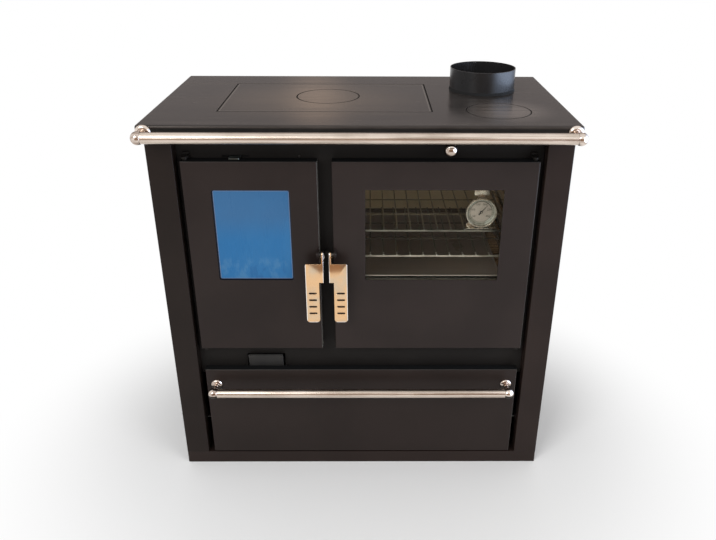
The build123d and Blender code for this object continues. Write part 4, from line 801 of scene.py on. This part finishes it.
# %% [markdown]
# ## The dial's enamel
# The thermometer's dial is white enamel inside a pressed steel ring, and its scale and needle are printed dark. The
# ring is so small in the picture that geometry would be lost on it: distance from the dial's middle paints
# it, with a painted shadow in the crease where it meets the enamel, painted shade under the rim at the top, and two
# painted glints.

# %% Dial
RING_FROM = (0.0234, 0.0242)
CREASE_INSIDE, CREASE_OUTSIDE = (0.0220, 0.0230), (0.0248, 0.0238)


def lacquer(name, colour, rough):
    """Smooth printed enamel with the faint mottle of a thin coat."""
    paint = Paint(name, specular_ior_level=0.3)
    mottle = paint.noise(160.0, 3.0)
    tone = paint.mix(mottle, tint(colour, 0.94), tint(colour))
    return paint.done(colour=tone, roughness=rough + mottle.swing(0.08))


def dial_enamel():
    """White enamel on the dial inside a pressed steel ring, with painted shadow in the crease, painted shade under
    the rim at the top and two painted glints.
    """
    paint = Paint.reopen(lacquer("dial_face", (0.86, 0.72, 0.68), 0.32))
    centre = middle(*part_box("thermometer_dial"))
    away = paint.distance(scale=(1, 0, 1), centre=centre)
    here = paint.axes(centre=centre)
    sheen = paint.noise(90.0, 3.0)
    steel = paint.mix(sheen.ramp(0.4, 0.6), (0.60, 0.55, 0.50, 1), (0.82, 0.77, 0.72, 1))
    glint = (here.out("X") * here.out("Z")).ramp(-0.00022, -0.00031)
    steel = paint.mix(glint, steel, (0.99, 0.98, 0.96, 1))
    tone = paint.mix(away.ramp(*RING_FROM), paint.fed("Base Color"), steel)
    crease = away.ramp(*CREASE_INSIDE) * away.ramp(*CREASE_OUTSIDE)
    shade = crease * (0.35 + here.out("Z").ramp(0.004, 0.016) * 0.55)
    paint.feed(paint.shader.inputs["Base Color"], paint.mix(shade, tone, (0.12, 0.10, 0.08, 1)))
    return paint.material


dial_white = dial_enamel()
ink = lacquer("needle_paint", (0.035, 0.035, 0.035), 0.38)
print("dial:", dial_white.name, "and", ink.name)

# %% [markdown]
# ## Give each node its finish
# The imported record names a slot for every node, so one table from slot to material reaches all of them. A second
# table, by node, holds the pieces that look different from the rest of their slot.

# %% Assign finishes
slot_finishes = {
    "hob_iron": hob, "body_paint": body_paint, "frame_paint": frame_paint, "grate_iron": casting,
    "chrome_plate": chrome, "nickel_steel": nickel, "zinc_sheet": zinc, "dark_sheet": dark_sheet,
    "steel_screw": screw_steel, "oven_enamel": oven_enamel, "clear_glass": oven_glass,
    "filmed_glass": door_ceramic, "lens_glass": lens_glass, "firebrick": brick, "rope": rope, "tape": tape,
    "dial_face": dial_white, "needle_paint": ink,
}
node_finishes = {
    "firebox_door_panel": firebox_door_paint, "oven_door_panel": oven_door_paint, "drawer_front": drawer_paint,
    "side_panel_left": left_shaded_paint, "latch_keeper": frame_paint, "air_flap": casting, "flue_spigot": spigot_blue,
    "firebox_door_pivot": dark_steel, "oven_door_pivot": dark_steel, "air_slider": slider_steel,
    "lower_rack": lower_wire, "upper_rack": upper_wire, "thermometer_case": case_steel,
    "top_rail": tube_chrome, "drawer_rail": tube_chrome, "drawer_rail_brackets": bracket_chrome,
}
for entry in frame["record"]["subparts"]:
    piece = nodes[entry["node"]]
    piece.data.materials.clear()
    piece.data.materials.append(node_finishes.get(entry["node"], slot_finishes[entry["material_slot"]]))
print("finishes:", len(slot_finishes), "by slot,", len(node_finishes), "by node")

# %% [markdown]
# ## Tools for modelling by hand
# New pieces start as a primitive at its real size and place. `start` adds one with nothing else selected and moves
# its place into the mesh, so the object stays at the origin as the construction nodes do. `pick` opens edit mode
# with the faces or vertices that pass a test selected, and `done_editing` closes it. Modifiers are applied at
# once, so every piece ends as a plain mesh.

# %% Modelling helpers
def start(name, add, scale=(1, 1, 1), **settings):
    """A primitive whose place, turn and proportions are in its mesh."""
    bpy.ops.object.select_all(action="DESELECT")
    add(**settings)
    piece = bpy.context.object
    piece.name = name
    piece.scale = scale
    bpy.ops.object.transform_apply(location=True, rotation=True, scale=True)
    return piece


def upright_plate(name, width, height, place):
    """A flat rectangle that faces the front."""
    plate = start(name, bpy.ops.mesh.primitive_plane_add, size=1, rotation=(pi / 2, 0, 0))
    plate.scale = (width, 1, height)
    plate.location = place
    bpy.ops.object.transform_apply(location=True, rotation=True, scale=True)
    return plate


def pick(piece, test=lambda item: True, kind="FACE"):
    """Edit mode, with the faces or vertices that pass the test selected."""
    bpy.ops.object.select_all(action="DESELECT")
    piece.select_set(True)
    bpy.context.view_layer.objects.active = piece
    bpy.ops.object.mode_set(mode="EDIT")
    bpy.ops.mesh.select_mode(type=kind)
    bpy.ops.mesh.select_all(action="DESELECT")
    mesh = bmesh.from_edit_mesh(piece.data)
    for item in {"FACE": mesh.faces, "VERT": mesh.verts}[kind]:
        if test(item):
            item.select_set(True)
    mesh.select_flush_mode()
    bmesh.update_edit_mesh(piece.data)


def done_editing(piece, angle=35):
    """Back to object mode: doubles merged, faces outwards, smooth but for its sharp edges."""
    if bpy.context.mode != "EDIT_MESH":
        pick(piece)
    bpy.ops.mesh.select_all(action="SELECT")
    bpy.ops.mesh.remove_doubles(threshold=0.000005)
    bpy.ops.mesh.normals_make_consistent(inside=False)
    bpy.ops.object.mode_set(mode="OBJECT")
    bpy.ops.object.shade_smooth_by_angle(angle=radians(angle))


def apply_modifier(piece, kind, **settings):
    """Adds a modifier, sets it and applies it."""
    bpy.ops.object.select_all(action="DESELECT")
    piece.select_set(True)
    bpy.context.view_layer.objects.active = piece
    modifier = piece.modifiers.new(kind.lower(), kind)
    for name, value in settings.items():
        setattr(modifier, name, value)
    bpy.ops.object.modifier_apply(modifier=modifier.name)


def finish_piece(piece, material, body, stands_for=()):
    """Gives a piece its finish, its body and the nodes it stands for."""
    piece.data.materials.clear()
    piece.data.materials.append(material)
    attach(piece, body)
    if stands_for:
        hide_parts(*stands_for)
    print(piece.name, len(piece.data.polygons), "faces")


# %% [markdown]
# ## Rope seals
# A braided glass-fibre rope lies in a groove on the back of each door and presses against the frame when the door is
# shut. A smooth tube would look like rubber. Here one short unit of rope is made from a ring with four lobes, which
# is extruded six times and turned by fifteen degrees each time, so that each lobe meets the next one's start.
# An Array modifier repeats the unit, and a Curve modifier bends the row round the door.

# %% Rope seals
ROPE_CORNER = 0.014
ROPE_UNIT = 0.0105
ROPE_STEPS, ROPE_STEP_TURN = 6, radians(15)
ROPE_FILL = 0.97  # of the groove's room
LOBE_WAIST = 0.80


def rounded_loop(name, low, high, depth, corner):
    """A closed curve: a rectangle with rounded corners that faces the front."""
    place = ((low[0] + high[0]) / 2, depth, (low[2] + high[2]) / 2)
    loop = upright_plate(name, high[0] - low[0], high[2] - low[2], place)
    pick(loop, kind="VERT")
    bpy.ops.mesh.bevel(offset=corner, segments=8, affect="VERTICES")
    bpy.ops.mesh.delete(type="ONLY_FACE")
    bpy.ops.object.mode_set(mode="OBJECT")
    bpy.ops.object.convert(target="CURVE")
    return bpy.context.object


def rope_seal(name, node, body):
    """A twisted rope along the middle line of a construction seal."""
    low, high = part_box(node)
    radius = (high[1] - low[1]) / 2
    inner_low = [end + radius for end in low]
    inner_high = [end - radius for end in high]
    loop = rounded_loop(name + "_path", inner_low, inner_high, (low[1] + high[1]) / 2, ROPE_CORNER)
    length = loop.data.splines[0].calc_length()
    units = round(length / ROPE_UNIT)
    step = length / units / ROPE_STEPS
    rope_piece = start(name, bpy.ops.mesh.primitive_circle_add, vertices=16, radius=radius * ROPE_FILL,
                       fill_type="NOTHING", rotation=(0, pi / 2, 0))
    pick(rope_piece, lambda vertex: vertex.index % 4 == 0, "VERT")
    bpy.ops.transform.resize(value=(1, LOBE_WAIST, LOBE_WAIST), center_override=(0, 0, 0))
    bpy.ops.mesh.select_all(action="SELECT")
    for _ in range(ROPE_STEPS):
        bpy.ops.mesh.extrude_edges_move(TRANSFORM_OT_translate={"value": (step, 0, 0)})
        bpy.ops.transform.rotate(value=ROPE_STEP_TURN, orient_axis="X", center_override=(0, 0, 0))
    bpy.ops.object.mode_set(mode="OBJECT")
    apply_modifier(rope_piece, "ARRAY", count=units, use_merge_vertices=True, merge_threshold=0.0002)
    apply_modifier(rope_piece, "CURVE", object=loop, deform_axis="POS_X")
    pick(rope_piece)
    bpy.ops.mesh.remove_doubles(threshold=0.0004)
    done_editing(rope_piece, 60)
    bpy.data.objects.remove(loop)
    print(name, round(length, 3), "m long,", units, "quarter turns")
    finish_piece(rope_piece, rope, body, (node,))


rope_seal("firebox_rope", "firebox_door_seal", "firebox_door")
rope_seal("oven_rope", "oven_door_seal", "oven_door")

# %% [markdown]
# ## Glass gaskets
# A flat woven tape lies between each pane and its door panel, so that the glass can grow with heat. It is a frame of
# tape with soft edges. A plane is inset and its middle deleted, a Solidify gives the rest its thickness, and a Bevel
# rounds its edges. The weave itself is a bump in the finish: modelled threads would be far too many.

# %% Tape gaskets
TAPE_WIDTH, TAPE_EDGE = 0.009, 0.0005
TAPE_FILL = 0.94  # of the gap's depth
THREADS = 4200  # radians per metre, which is a thread every 1.5 mm


def weave(name, value):
    """Plain weave: threads that pass over and under each other along X and Z."""
    paint = Paint(name, specular_ior_level=0.15)
    here = paint.axes(scale=(THREADS, THREADS, THREADS))
    thread = (here.out("X").sine() * here.out("Z").sine()).ramp(-1.0, 1.0)
    fuzz = paint.noise(900.0, 3.0)
    tone = paint.mix(thread * 0.7 + fuzz * 0.3, grey(value * 0.55, 0.05), grey(value * 1.5, 0.05))
    return paint.done(colour=tone, roughness=0.85 + fuzz.swing(0.1), height=thread, relief=0.0003)


def tape_gasket(name, node, body):
    """A flat frame of tape in place of a construction gasket."""
    low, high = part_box(node)
    gasket = upright_plate(name, high[0] - low[0], high[2] - low[2], middle(low, high))
    pick(gasket)
    bpy.ops.mesh.inset(thickness=TAPE_WIDTH)
    bpy.ops.mesh.delete(type="FACE")
    bpy.ops.mesh.select_all(action="SELECT")
    bpy.ops.mesh.subdivide(number_cuts=6)
    bpy.ops.object.mode_set(mode="OBJECT")
    apply_modifier(gasket, "SOLIDIFY", thickness=(high[1] - low[1]) * TAPE_FILL, offset=0.0)
    apply_modifier(gasket, "BEVEL", width=TAPE_EDGE, segments=3, limit_method="ANGLE")
    done_editing(gasket)
    finish_piece(gasket, tape_weave, body, (node,))


tape_weave = weave("tape_weave", 0.07)
tape_gasket("firebox_tape", "firebox_door_gasket", "firebox_door")
tape_gasket("oven_tape", "oven_door_gasket", "oven_door")

# %% [markdown]
# ## Blue film on the firebox glass
# The firebox pane still wears its blue protective film. The film is cut a little smaller than the opening, so a dark
# line of glass shows round it. It starts as a plane, its corners are rounded, its rim is inset so that the cut
# edge can lie flat while the middle stands a hair proud, and a Solidify gives it its thickness.

# %% Protective film
FILM_THICKNESS = 0.00015
FILM_CORNER, FILM_RIM = 0.003, 0.0006
FILM_LIFT = 0.00012  # of the film's rim from the glass
FILM_PROUD = 0.0001  # of its middle from its rim

pane_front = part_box("firebox_door_glass")[0][1]
film = upright_plate("window_film", 2 * FILM_HALF[0], 2 * FILM_HALF[1],
                     (FILM_MIDDLE[0], pane_front - FILM_LIFT, FILM_MIDDLE[2]))
pick(film, kind="VERT")
bpy.ops.mesh.bevel(offset=FILM_CORNER, segments=5, affect="VERTICES")
bpy.ops.mesh.select_mode(type="FACE")
bpy.ops.mesh.select_all(action="SELECT")
bpy.ops.mesh.inset(thickness=FILM_RIM)
bpy.ops.transform.translate(value=(0, -FILM_PROUD, 0))
bpy.ops.object.mode_set(mode="OBJECT")
apply_modifier(film, "SOLIDIFY", thickness=FILM_THICKNESS, offset=0.0)
done_editing(film)
finish_piece(film, blue_film, "firebox_door")

# %% [markdown]
# ## Bead on the oven door's liner
# A bright line runs along the bottom of the oven window, behind the glass: the rolled edge of the liner's opening,
# bare where pans and cloths rub it. A plane of its width is extruded to its height, and a Bevel rolls the edges.

# %% Oven glass bead
BEAD_LENGTH, BEAD_DEPTH, BEAD_HEIGHT = 0.2895, 0.0042, 0.0068
BEAD_Y, BEAD_FOOT = -0.2020, 0.4914
BEAD_EDGE = 0.0010

window_x = middle(*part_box("oven_door_gasket"))[0]
bead = start("oven_glass_bead", bpy.ops.mesh.primitive_plane_add, size=1, scale=(BEAD_LENGTH, BEAD_DEPTH, 1),
             location=(window_x, BEAD_Y, BEAD_FOOT))
pick(bead)
bpy.ops.mesh.extrude_region_move(TRANSFORM_OT_translate={"value": (0, 0, BEAD_HEIGHT)})
bpy.ops.mesh.select_all(action="SELECT")
bpy.ops.mesh.normals_make_consistent(inside=False)
bpy.ops.object.mode_set(mode="OBJECT")
apply_modifier(bead, "BEVEL", width=BEAD_EDGE, segments=4, limit_method="ANGLE")
done_editing(bead)
finish_piece(bead, bead_steel, "oven_door")

# %% [markdown]
# ## Tools for small hardware
# Screws, nuts and weld ripples all start as a disc that faces the front, and grow along Y one step at a time: `pull`
# extrudes the picked faces and makes them smaller. They are shaped once at the origin, where turning and resizing
# are easy, and `copy_to` puts copies in their places. A Collection instance would share one mesh between them, but
# each piece that is handed over has to own its mesh.

# %% Hardware helpers
def upright_disc(name, vertices, radius, place=(0, 0, 0)):
    """A flat disc or polygon that faces the front."""
    return start(name, bpy.ops.mesh.primitive_circle_add, vertices=vertices, radius=radius, fill_type="NGON",
                 location=place, rotation=(pi / 2, 0, 0))


def pull(depth, share=None):
    """Extrudes the selected faces along Y, then resizes them by a share about the Y axis."""
    bpy.ops.mesh.extrude_region_move(TRANSFORM_OT_translate={"value": (0, depth, 0)})
    if share is not None:
        bpy.ops.transform.resize(value=(share, 1, share), center_override=(0, 0, 0))


def shift_all(piece, offset, turn_by=0.0, axis="Y"):
    """Turns a piece about the origin, then moves it, in its mesh."""
    bpy.ops.object.select_all(action="DESELECT")
    piece.select_set(True)
    bpy.context.view_layer.objects.active = piece
    if turn_by:
        piece.rotation_euler["XYZ".index(axis)] = turn_by
        bpy.ops.object.transform_apply(location=False, rotation=True, scale=False)
    piece.location = offset
    bpy.ops.object.transform_apply(location=True, rotation=False, scale=False)


def copy_to(piece, name, offset, turn_by=0.0, axis="Y"):
    """A copy with its own mesh, turned about the origin and moved."""
    twin = piece.copy()
    twin.data = piece.data.copy()
    twin.name = name
    bpy.context.scene.collection.objects.link(twin)
    shift_all(twin, offset, turn_by, axis)
    return twin


def join(pieces, name):
    """Joins pieces into one."""
    bpy.ops.object.select_all(action="DESELECT")
    for piece in pieces:
        piece.select_set(True)
    bpy.context.view_layer.objects.active = pieces[0]
    bpy.ops.object.join()
    pieces[0].name = name
    return pieces[0]


def spread(low, high, margin, count):
    """Evenly spaced places between two ends, the outer ones a margin inside."""
    return [low + margin + (high - low - 2 * margin) * place / (count - 1) for place in range(count)]


# %% [markdown]
# ## Screws
# The back panel is held by pan-head screws, and one small screw sits in the fascia. A head could be a spun profile.
# Here a disc is extruded in four steps, each a little smaller, which gives the same dome with fewer faces, and
# two crossed cutters sink the recess with a Boolean. The head is modelled once, with its axis along Y, and copied
# to every place, each copy with its own mesh.

# %% Pan-head screws
HEAD_STEPS = ((0.45, 1.0), (0.28, 0.93), (0.17, 0.76), (0.10, 0.45))  # shares of the height, and of the step below
SCREW_RADIUS, SCREW_ROWS = 0.004, 5
FASCIA_SCREW_SEAT = (-0.1225, -0.195, 0.7605)


def pan_head(name, radius, height, recess):
    """A screw head that faces the front, with a crossed recess. Its seat is at the origin."""
    head = upright_disc(name, 28, radius)
    pick(head)
    for rise, share in HEAD_STEPS:
        pull(-height * rise, share)
    done_editing(head)
    for angle in (0, pi / 2):
        cutter = start("cutter", bpy.ops.mesh.primitive_cube_add, size=1, location=(0, -height, 0),
                       scale=(recess * 2, height * 1.1, recess * 0.42))
        pick(cutter, lambda face: face.normal.y > 0.9)
        bpy.ops.transform.resize(value=(0.45, 1, 0.6))
        bpy.ops.object.mode_set(mode="OBJECT")
        shift_all(cutter, (0, 0, 0), angle, "Y")
        apply_modifier(head, "BOOLEAN", operation="DIFFERENCE", object=cutter, solver="EXACT")
        bpy.data.objects.remove(cutter)
    done_editing(head, 30)
    return head


screw_model = pan_head("screw_model", SCREW_RADIUS, height=0.0024, recess=0.0021)
low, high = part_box("back_panel_screws")
back_heads = [copy_to(screw_model, "head", (column, low[1], row), pi, "Z")
              for column in (low[0] + SCREW_RADIUS, high[0] - SCREW_RADIUS)
              for row in spread(low[2], high[2], SCREW_RADIUS, SCREW_ROWS)]
finish_piece(join(back_heads, "back_screws"), screw_steel, "stove", ("back_panel_screws",))

fascia_screw = pan_head("fascia_screw", 0.0028, height=0.0016, recess=0.0014)
shift_all(fascia_screw, FASCIA_SCREW_SEAT)
finish_piece(fascia_screw, dark_steel, "stove")
bpy.data.objects.remove(screw_model)

# %% [markdown]
# ## Hex nuts on the door studs
# Six studs clamp each liner, and a hexagon nut closes each of them. A six-sided disc is extruded, a Bevel breaks its
# edges, and a short stud end with a chamfer stands out of it. The thread is too fine to show at this size.

# %% Stud nuts
NUT_RADIUS, NUT_HEIGHT = 0.0049, 0.0025
STUD_END_RADIUS = 0.0025
STUD_MARGIN, STUD_ROWS = 0.005, 3


def stud_nut(name, radius, height, stud):
    """A nut that faces the back, with its seat at the origin."""
    nut = upright_disc(name, 6, radius)
    pick(nut)
    pull(height * 0.8)
    done_editing(nut)
    apply_modifier(nut, "BEVEL", width=radius * 0.09, segments=2, limit_method="ANGLE")
    end = upright_disc("stud_end", 20, stud, place=(0, height * 0.7, 0))
    pick(end)
    pull(height * 0.2)
    pull(height * 0.1, 0.7)
    done_editing(end)
    nut = join([nut, end], name)
    done_editing(nut, 30)
    return nut


nut_model = stud_nut("nut_model", NUT_RADIUS, NUT_HEIGHT, STUD_END_RADIUS)
for door in ("firebox", "oven"):
    low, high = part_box(door + "_door_studs")
    nuts = [copy_to(nut_model, "nut", (column, high[1] - NUT_HEIGHT, row))
            for column in (low[0] + STUD_MARGIN, high[0] - STUD_MARGIN)
            for row in spread(low[2], high[2], STUD_MARGIN, STUD_ROWS)]
    finish_piece(join(nuts, door + "_nuts"), screw_steel, door + "_door", (door + "_door_studs",))
bpy.data.objects.remove(nut_model)

# %% [markdown]
# ## Weld seam of the spigot
# The spigot is a rolled strip, closed by a welded seam at the back, which shows inside its rim. The bead is a row of
# overlapping ripples: one flattened blob is shaped from a disc and repeated by an Array modifier up the inner wall.

# %% Spigot seam
RIPPLE_RADIUS, RIPPLE_PITCH, RIPPLES = 0.0022, 0.0018, 25
RIPPLE_STEPS = ((0.0003, 0.85), (0.0002, 0.6), (0.0001, 0.5))  # rise, and share of the step below
SEAM_ASIDE, SEAM_BACK, SEAM_FOOT_Z = -0.008, 0.0716, 0.8385

spigot_x, spigot_y, _ = middle(*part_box("flue_spigot"))
seam = upright_disc("spigot_seam", 14, RIPPLE_RADIUS)
pick(seam)
for rise, share in RIPPLE_STEPS:
    pull(-rise, share)
done_editing(seam, 70)
apply_modifier(seam, "ARRAY", count=RIPPLES, use_relative_offset=False, use_constant_offset=True,
               constant_offset_displace=(0, 0, RIPPLE_PITCH))
shift_all(seam, (spigot_x + SEAM_ASIDE, spigot_y + SEAM_BACK, SEAM_FOOT_Z))
finish_piece(seam, spigot_blue, "stove")

# %% [markdown]
# ## Lever handles with broken edges
# Pressed steel levers have their edges broken and polished, and that thin bright line is what the eye picks up. The
# construction solid has the right shape with sharp edges, so a copy of it is merged, its flat faces are dissolved
# back into whole ones, and a small Bevel rounds every edge.

# %% Lever handles
LEVER_EDGE = 0.0006


def rounded_copy(node, name, width):
    """A copy of a construction node with its edges rounded."""
    twin = nodes[node].copy()
    twin.data = nodes[node].data.copy()
    twin.parent = None
    twin.matrix_world = nodes[node].matrix_world
    twin.name = name
    bpy.context.scene.collection.objects.link(twin)
    pick(twin)
    bpy.ops.mesh.remove_doubles(threshold=0.00001)
    bpy.ops.mesh.dissolve_limited(angle_limit=radians(2))
    bpy.ops.object.mode_set(mode="OBJECT")
    apply_modifier(twin, "BEVEL", width=width, segments=3, limit_method="ANGLE", angle_limit=radians(40),
                   use_clamp_overlap=True, harden_normals=False)
    done_editing(twin, 40)
    return twin


for door in ("firebox", "oven"):
    lever = rounded_copy(door + "_door_handle", door + "_lever", LEVER_EDGE)
    finish_piece(lever, levers, door + "_handle", (door + "_door_handle",))

# %% [markdown]
# ## The thermometer's case
# The case closes with a rolled bright rim, and a strip behind it ends in a foot below and a hook above. The rim is a
# small rounded section spun about the dial's axis. The section itself stays behind inside the ring and is deleted.
# The rest is a rounded copy of the construction solid, whose hook has its lower edge drawn down towards the case, as
# the photograph shows less of a neck between the two.

# %% Thermometer rim and case
RIM_RADIUS, RIM_SMOOTH = 0.0315, 50
RIM_SECTION, RIM_ROUNDING = (0.0030, 0.0032, 1), 0.0012
HOOK_EDGE = (0.6665, 0.6677)  # heights between which the rounded lower edge of the hook lies
HOOK_DROP = 0.0034
CASE_EDGE = 0.0003

lens_low, lens_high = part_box("thermometer_lens")
dial_x, _, dial_z = middle(lens_low, lens_high)
lens_front = lens_low[1]
rim = start("thermometer_rim", bpy.ops.mesh.primitive_plane_add, size=1, scale=RIM_SECTION)
pick(rim, kind="VERT")
bpy.ops.mesh.bevel(offset=RIM_ROUNDING, segments=4, affect="VERTICES")
bpy.ops.object.mode_set(mode="OBJECT")
shift_all(rim, (dial_x + RIM_RADIUS, lens_front - RIM_ROUNDING, dial_z))
pick(rim)
bpy.ops.mesh.spin(steps=72, angle=2 * pi, center=(dial_x, lens_front, dial_z), axis=(0, 1, 0))
bpy.ops.mesh.select_all(action="SELECT")
bpy.ops.mesh.remove_doubles(threshold=0.00002)
done_editing(rim, RIM_SMOOTH)
pick(rim, lambda face: len(face.verts) > 4)
bpy.ops.mesh.delete(type="FACE")
done_editing(rim, RIM_SMOOTH)
finish_piece(rim, case_steel, "stove")

hanger = rounded_copy("thermometer_case", "thermometer_hanger", CASE_EDGE)
pick(hanger, lambda vertex: HOOK_EDGE[0] < vertex.co.z < HOOK_EDGE[1], "VERT")
bpy.ops.transform.translate(value=(0, 0, -HOOK_DROP))
done_editing(hanger, 40)
finish_piece(hanger, case_steel, "stove", ("thermometer_case",))

# %% [markdown]
# ## The thermometer's scale
# The dial carries a plain scale of round numbers in a thin ring. An image would blur when the camera comes close, so
# the scale is real, paper-thin geometry. Each stroke is a sliver that narrows inwards, turned to its place,
# and the numbers are text turned into flat meshes, upright as on real dials.

# %% Thermometer scale
SCALE_LOW, SCALE_HIGH, SCALE_STEP, SCALE_NUMBERED = 50, 300, 10, 50
SCALE_TURN = 125
DIAL_THICKNESS, PRINT_DEPTH = 0.0010, 0.00012
LONG_STROKE, SHORT_STROKE = (0.0008, 0.0042), (0.00045, 0.0024)  # width and length
STROKE_RADIUS, STROKE_HEAD = 0.0268, 0.001
NUMBER_RADIUS, NUMBER_SIZE = 0.0182, 0.0066
RING_RADIUS, RING_WIDTH = 0.0276, 0.0005

print_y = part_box("thermometer_dial")[1][1] - DIAL_THICKNESS - PRINT_DEPTH


def scale_stroke(angle, width, length):
    """A stroke of the scale, turned to its place."""
    stroke = upright_plate("mark", width, length, (0, 0, STROKE_RADIUS - length / 2))
    pick(stroke, lambda vertex: vertex.co.z < STROKE_RADIUS - STROKE_HEAD, "VERT")
    bpy.ops.transform.resize(value=(0.7, 1, 1))
    bpy.ops.object.mode_set(mode="OBJECT")
    shift_all(stroke, (dial_x, print_y, dial_z), angle, "Y")
    return stroke


def scale_number(angle, value):
    """An upright number of the scale, as a flat mesh."""
    bpy.ops.object.select_all(action="DESELECT")
    bpy.ops.object.text_add(rotation=(pi / 2, 0, 0))
    text = bpy.context.object.data
    text.body = str(value)
    text.size = NUMBER_SIZE
    text.align_x = text.align_y = "CENTER"
    text.resolution_u = 3
    bpy.ops.object.convert(target="MESH")
    number = bpy.context.object
    number.location = (dial_x + NUMBER_RADIUS * sin(angle), print_y, dial_z + NUMBER_RADIUS * cos(angle))
    bpy.ops.object.transform_apply(location=True, rotation=True, scale=True)
    return number


marks = []
for value in range(SCALE_LOW, SCALE_HIGH + 1, SCALE_STEP):
    angle = radians(-SCALE_TURN + 2 * SCALE_TURN * (value - SCALE_LOW) / (SCALE_HIGH - SCALE_LOW))
    numbered = value % SCALE_NUMBERED == 0
    marks.append(scale_stroke(angle, *(LONG_STROKE if numbered else SHORT_STROKE)))
    if numbered:
        marks.append(scale_number(angle, value))
ring = upright_disc("scale_ring", 96, RING_RADIUS)
pick(ring)
bpy.ops.mesh.inset(thickness=RING_WIDTH)
bpy.ops.mesh.delete(type="FACE")
bpy.ops.object.mode_set(mode="OBJECT")
shift_all(ring, (dial_x, print_y, dial_z))
marks.append(ring)
finish_piece(join(marks, "dial_scale"), ink, "stove")
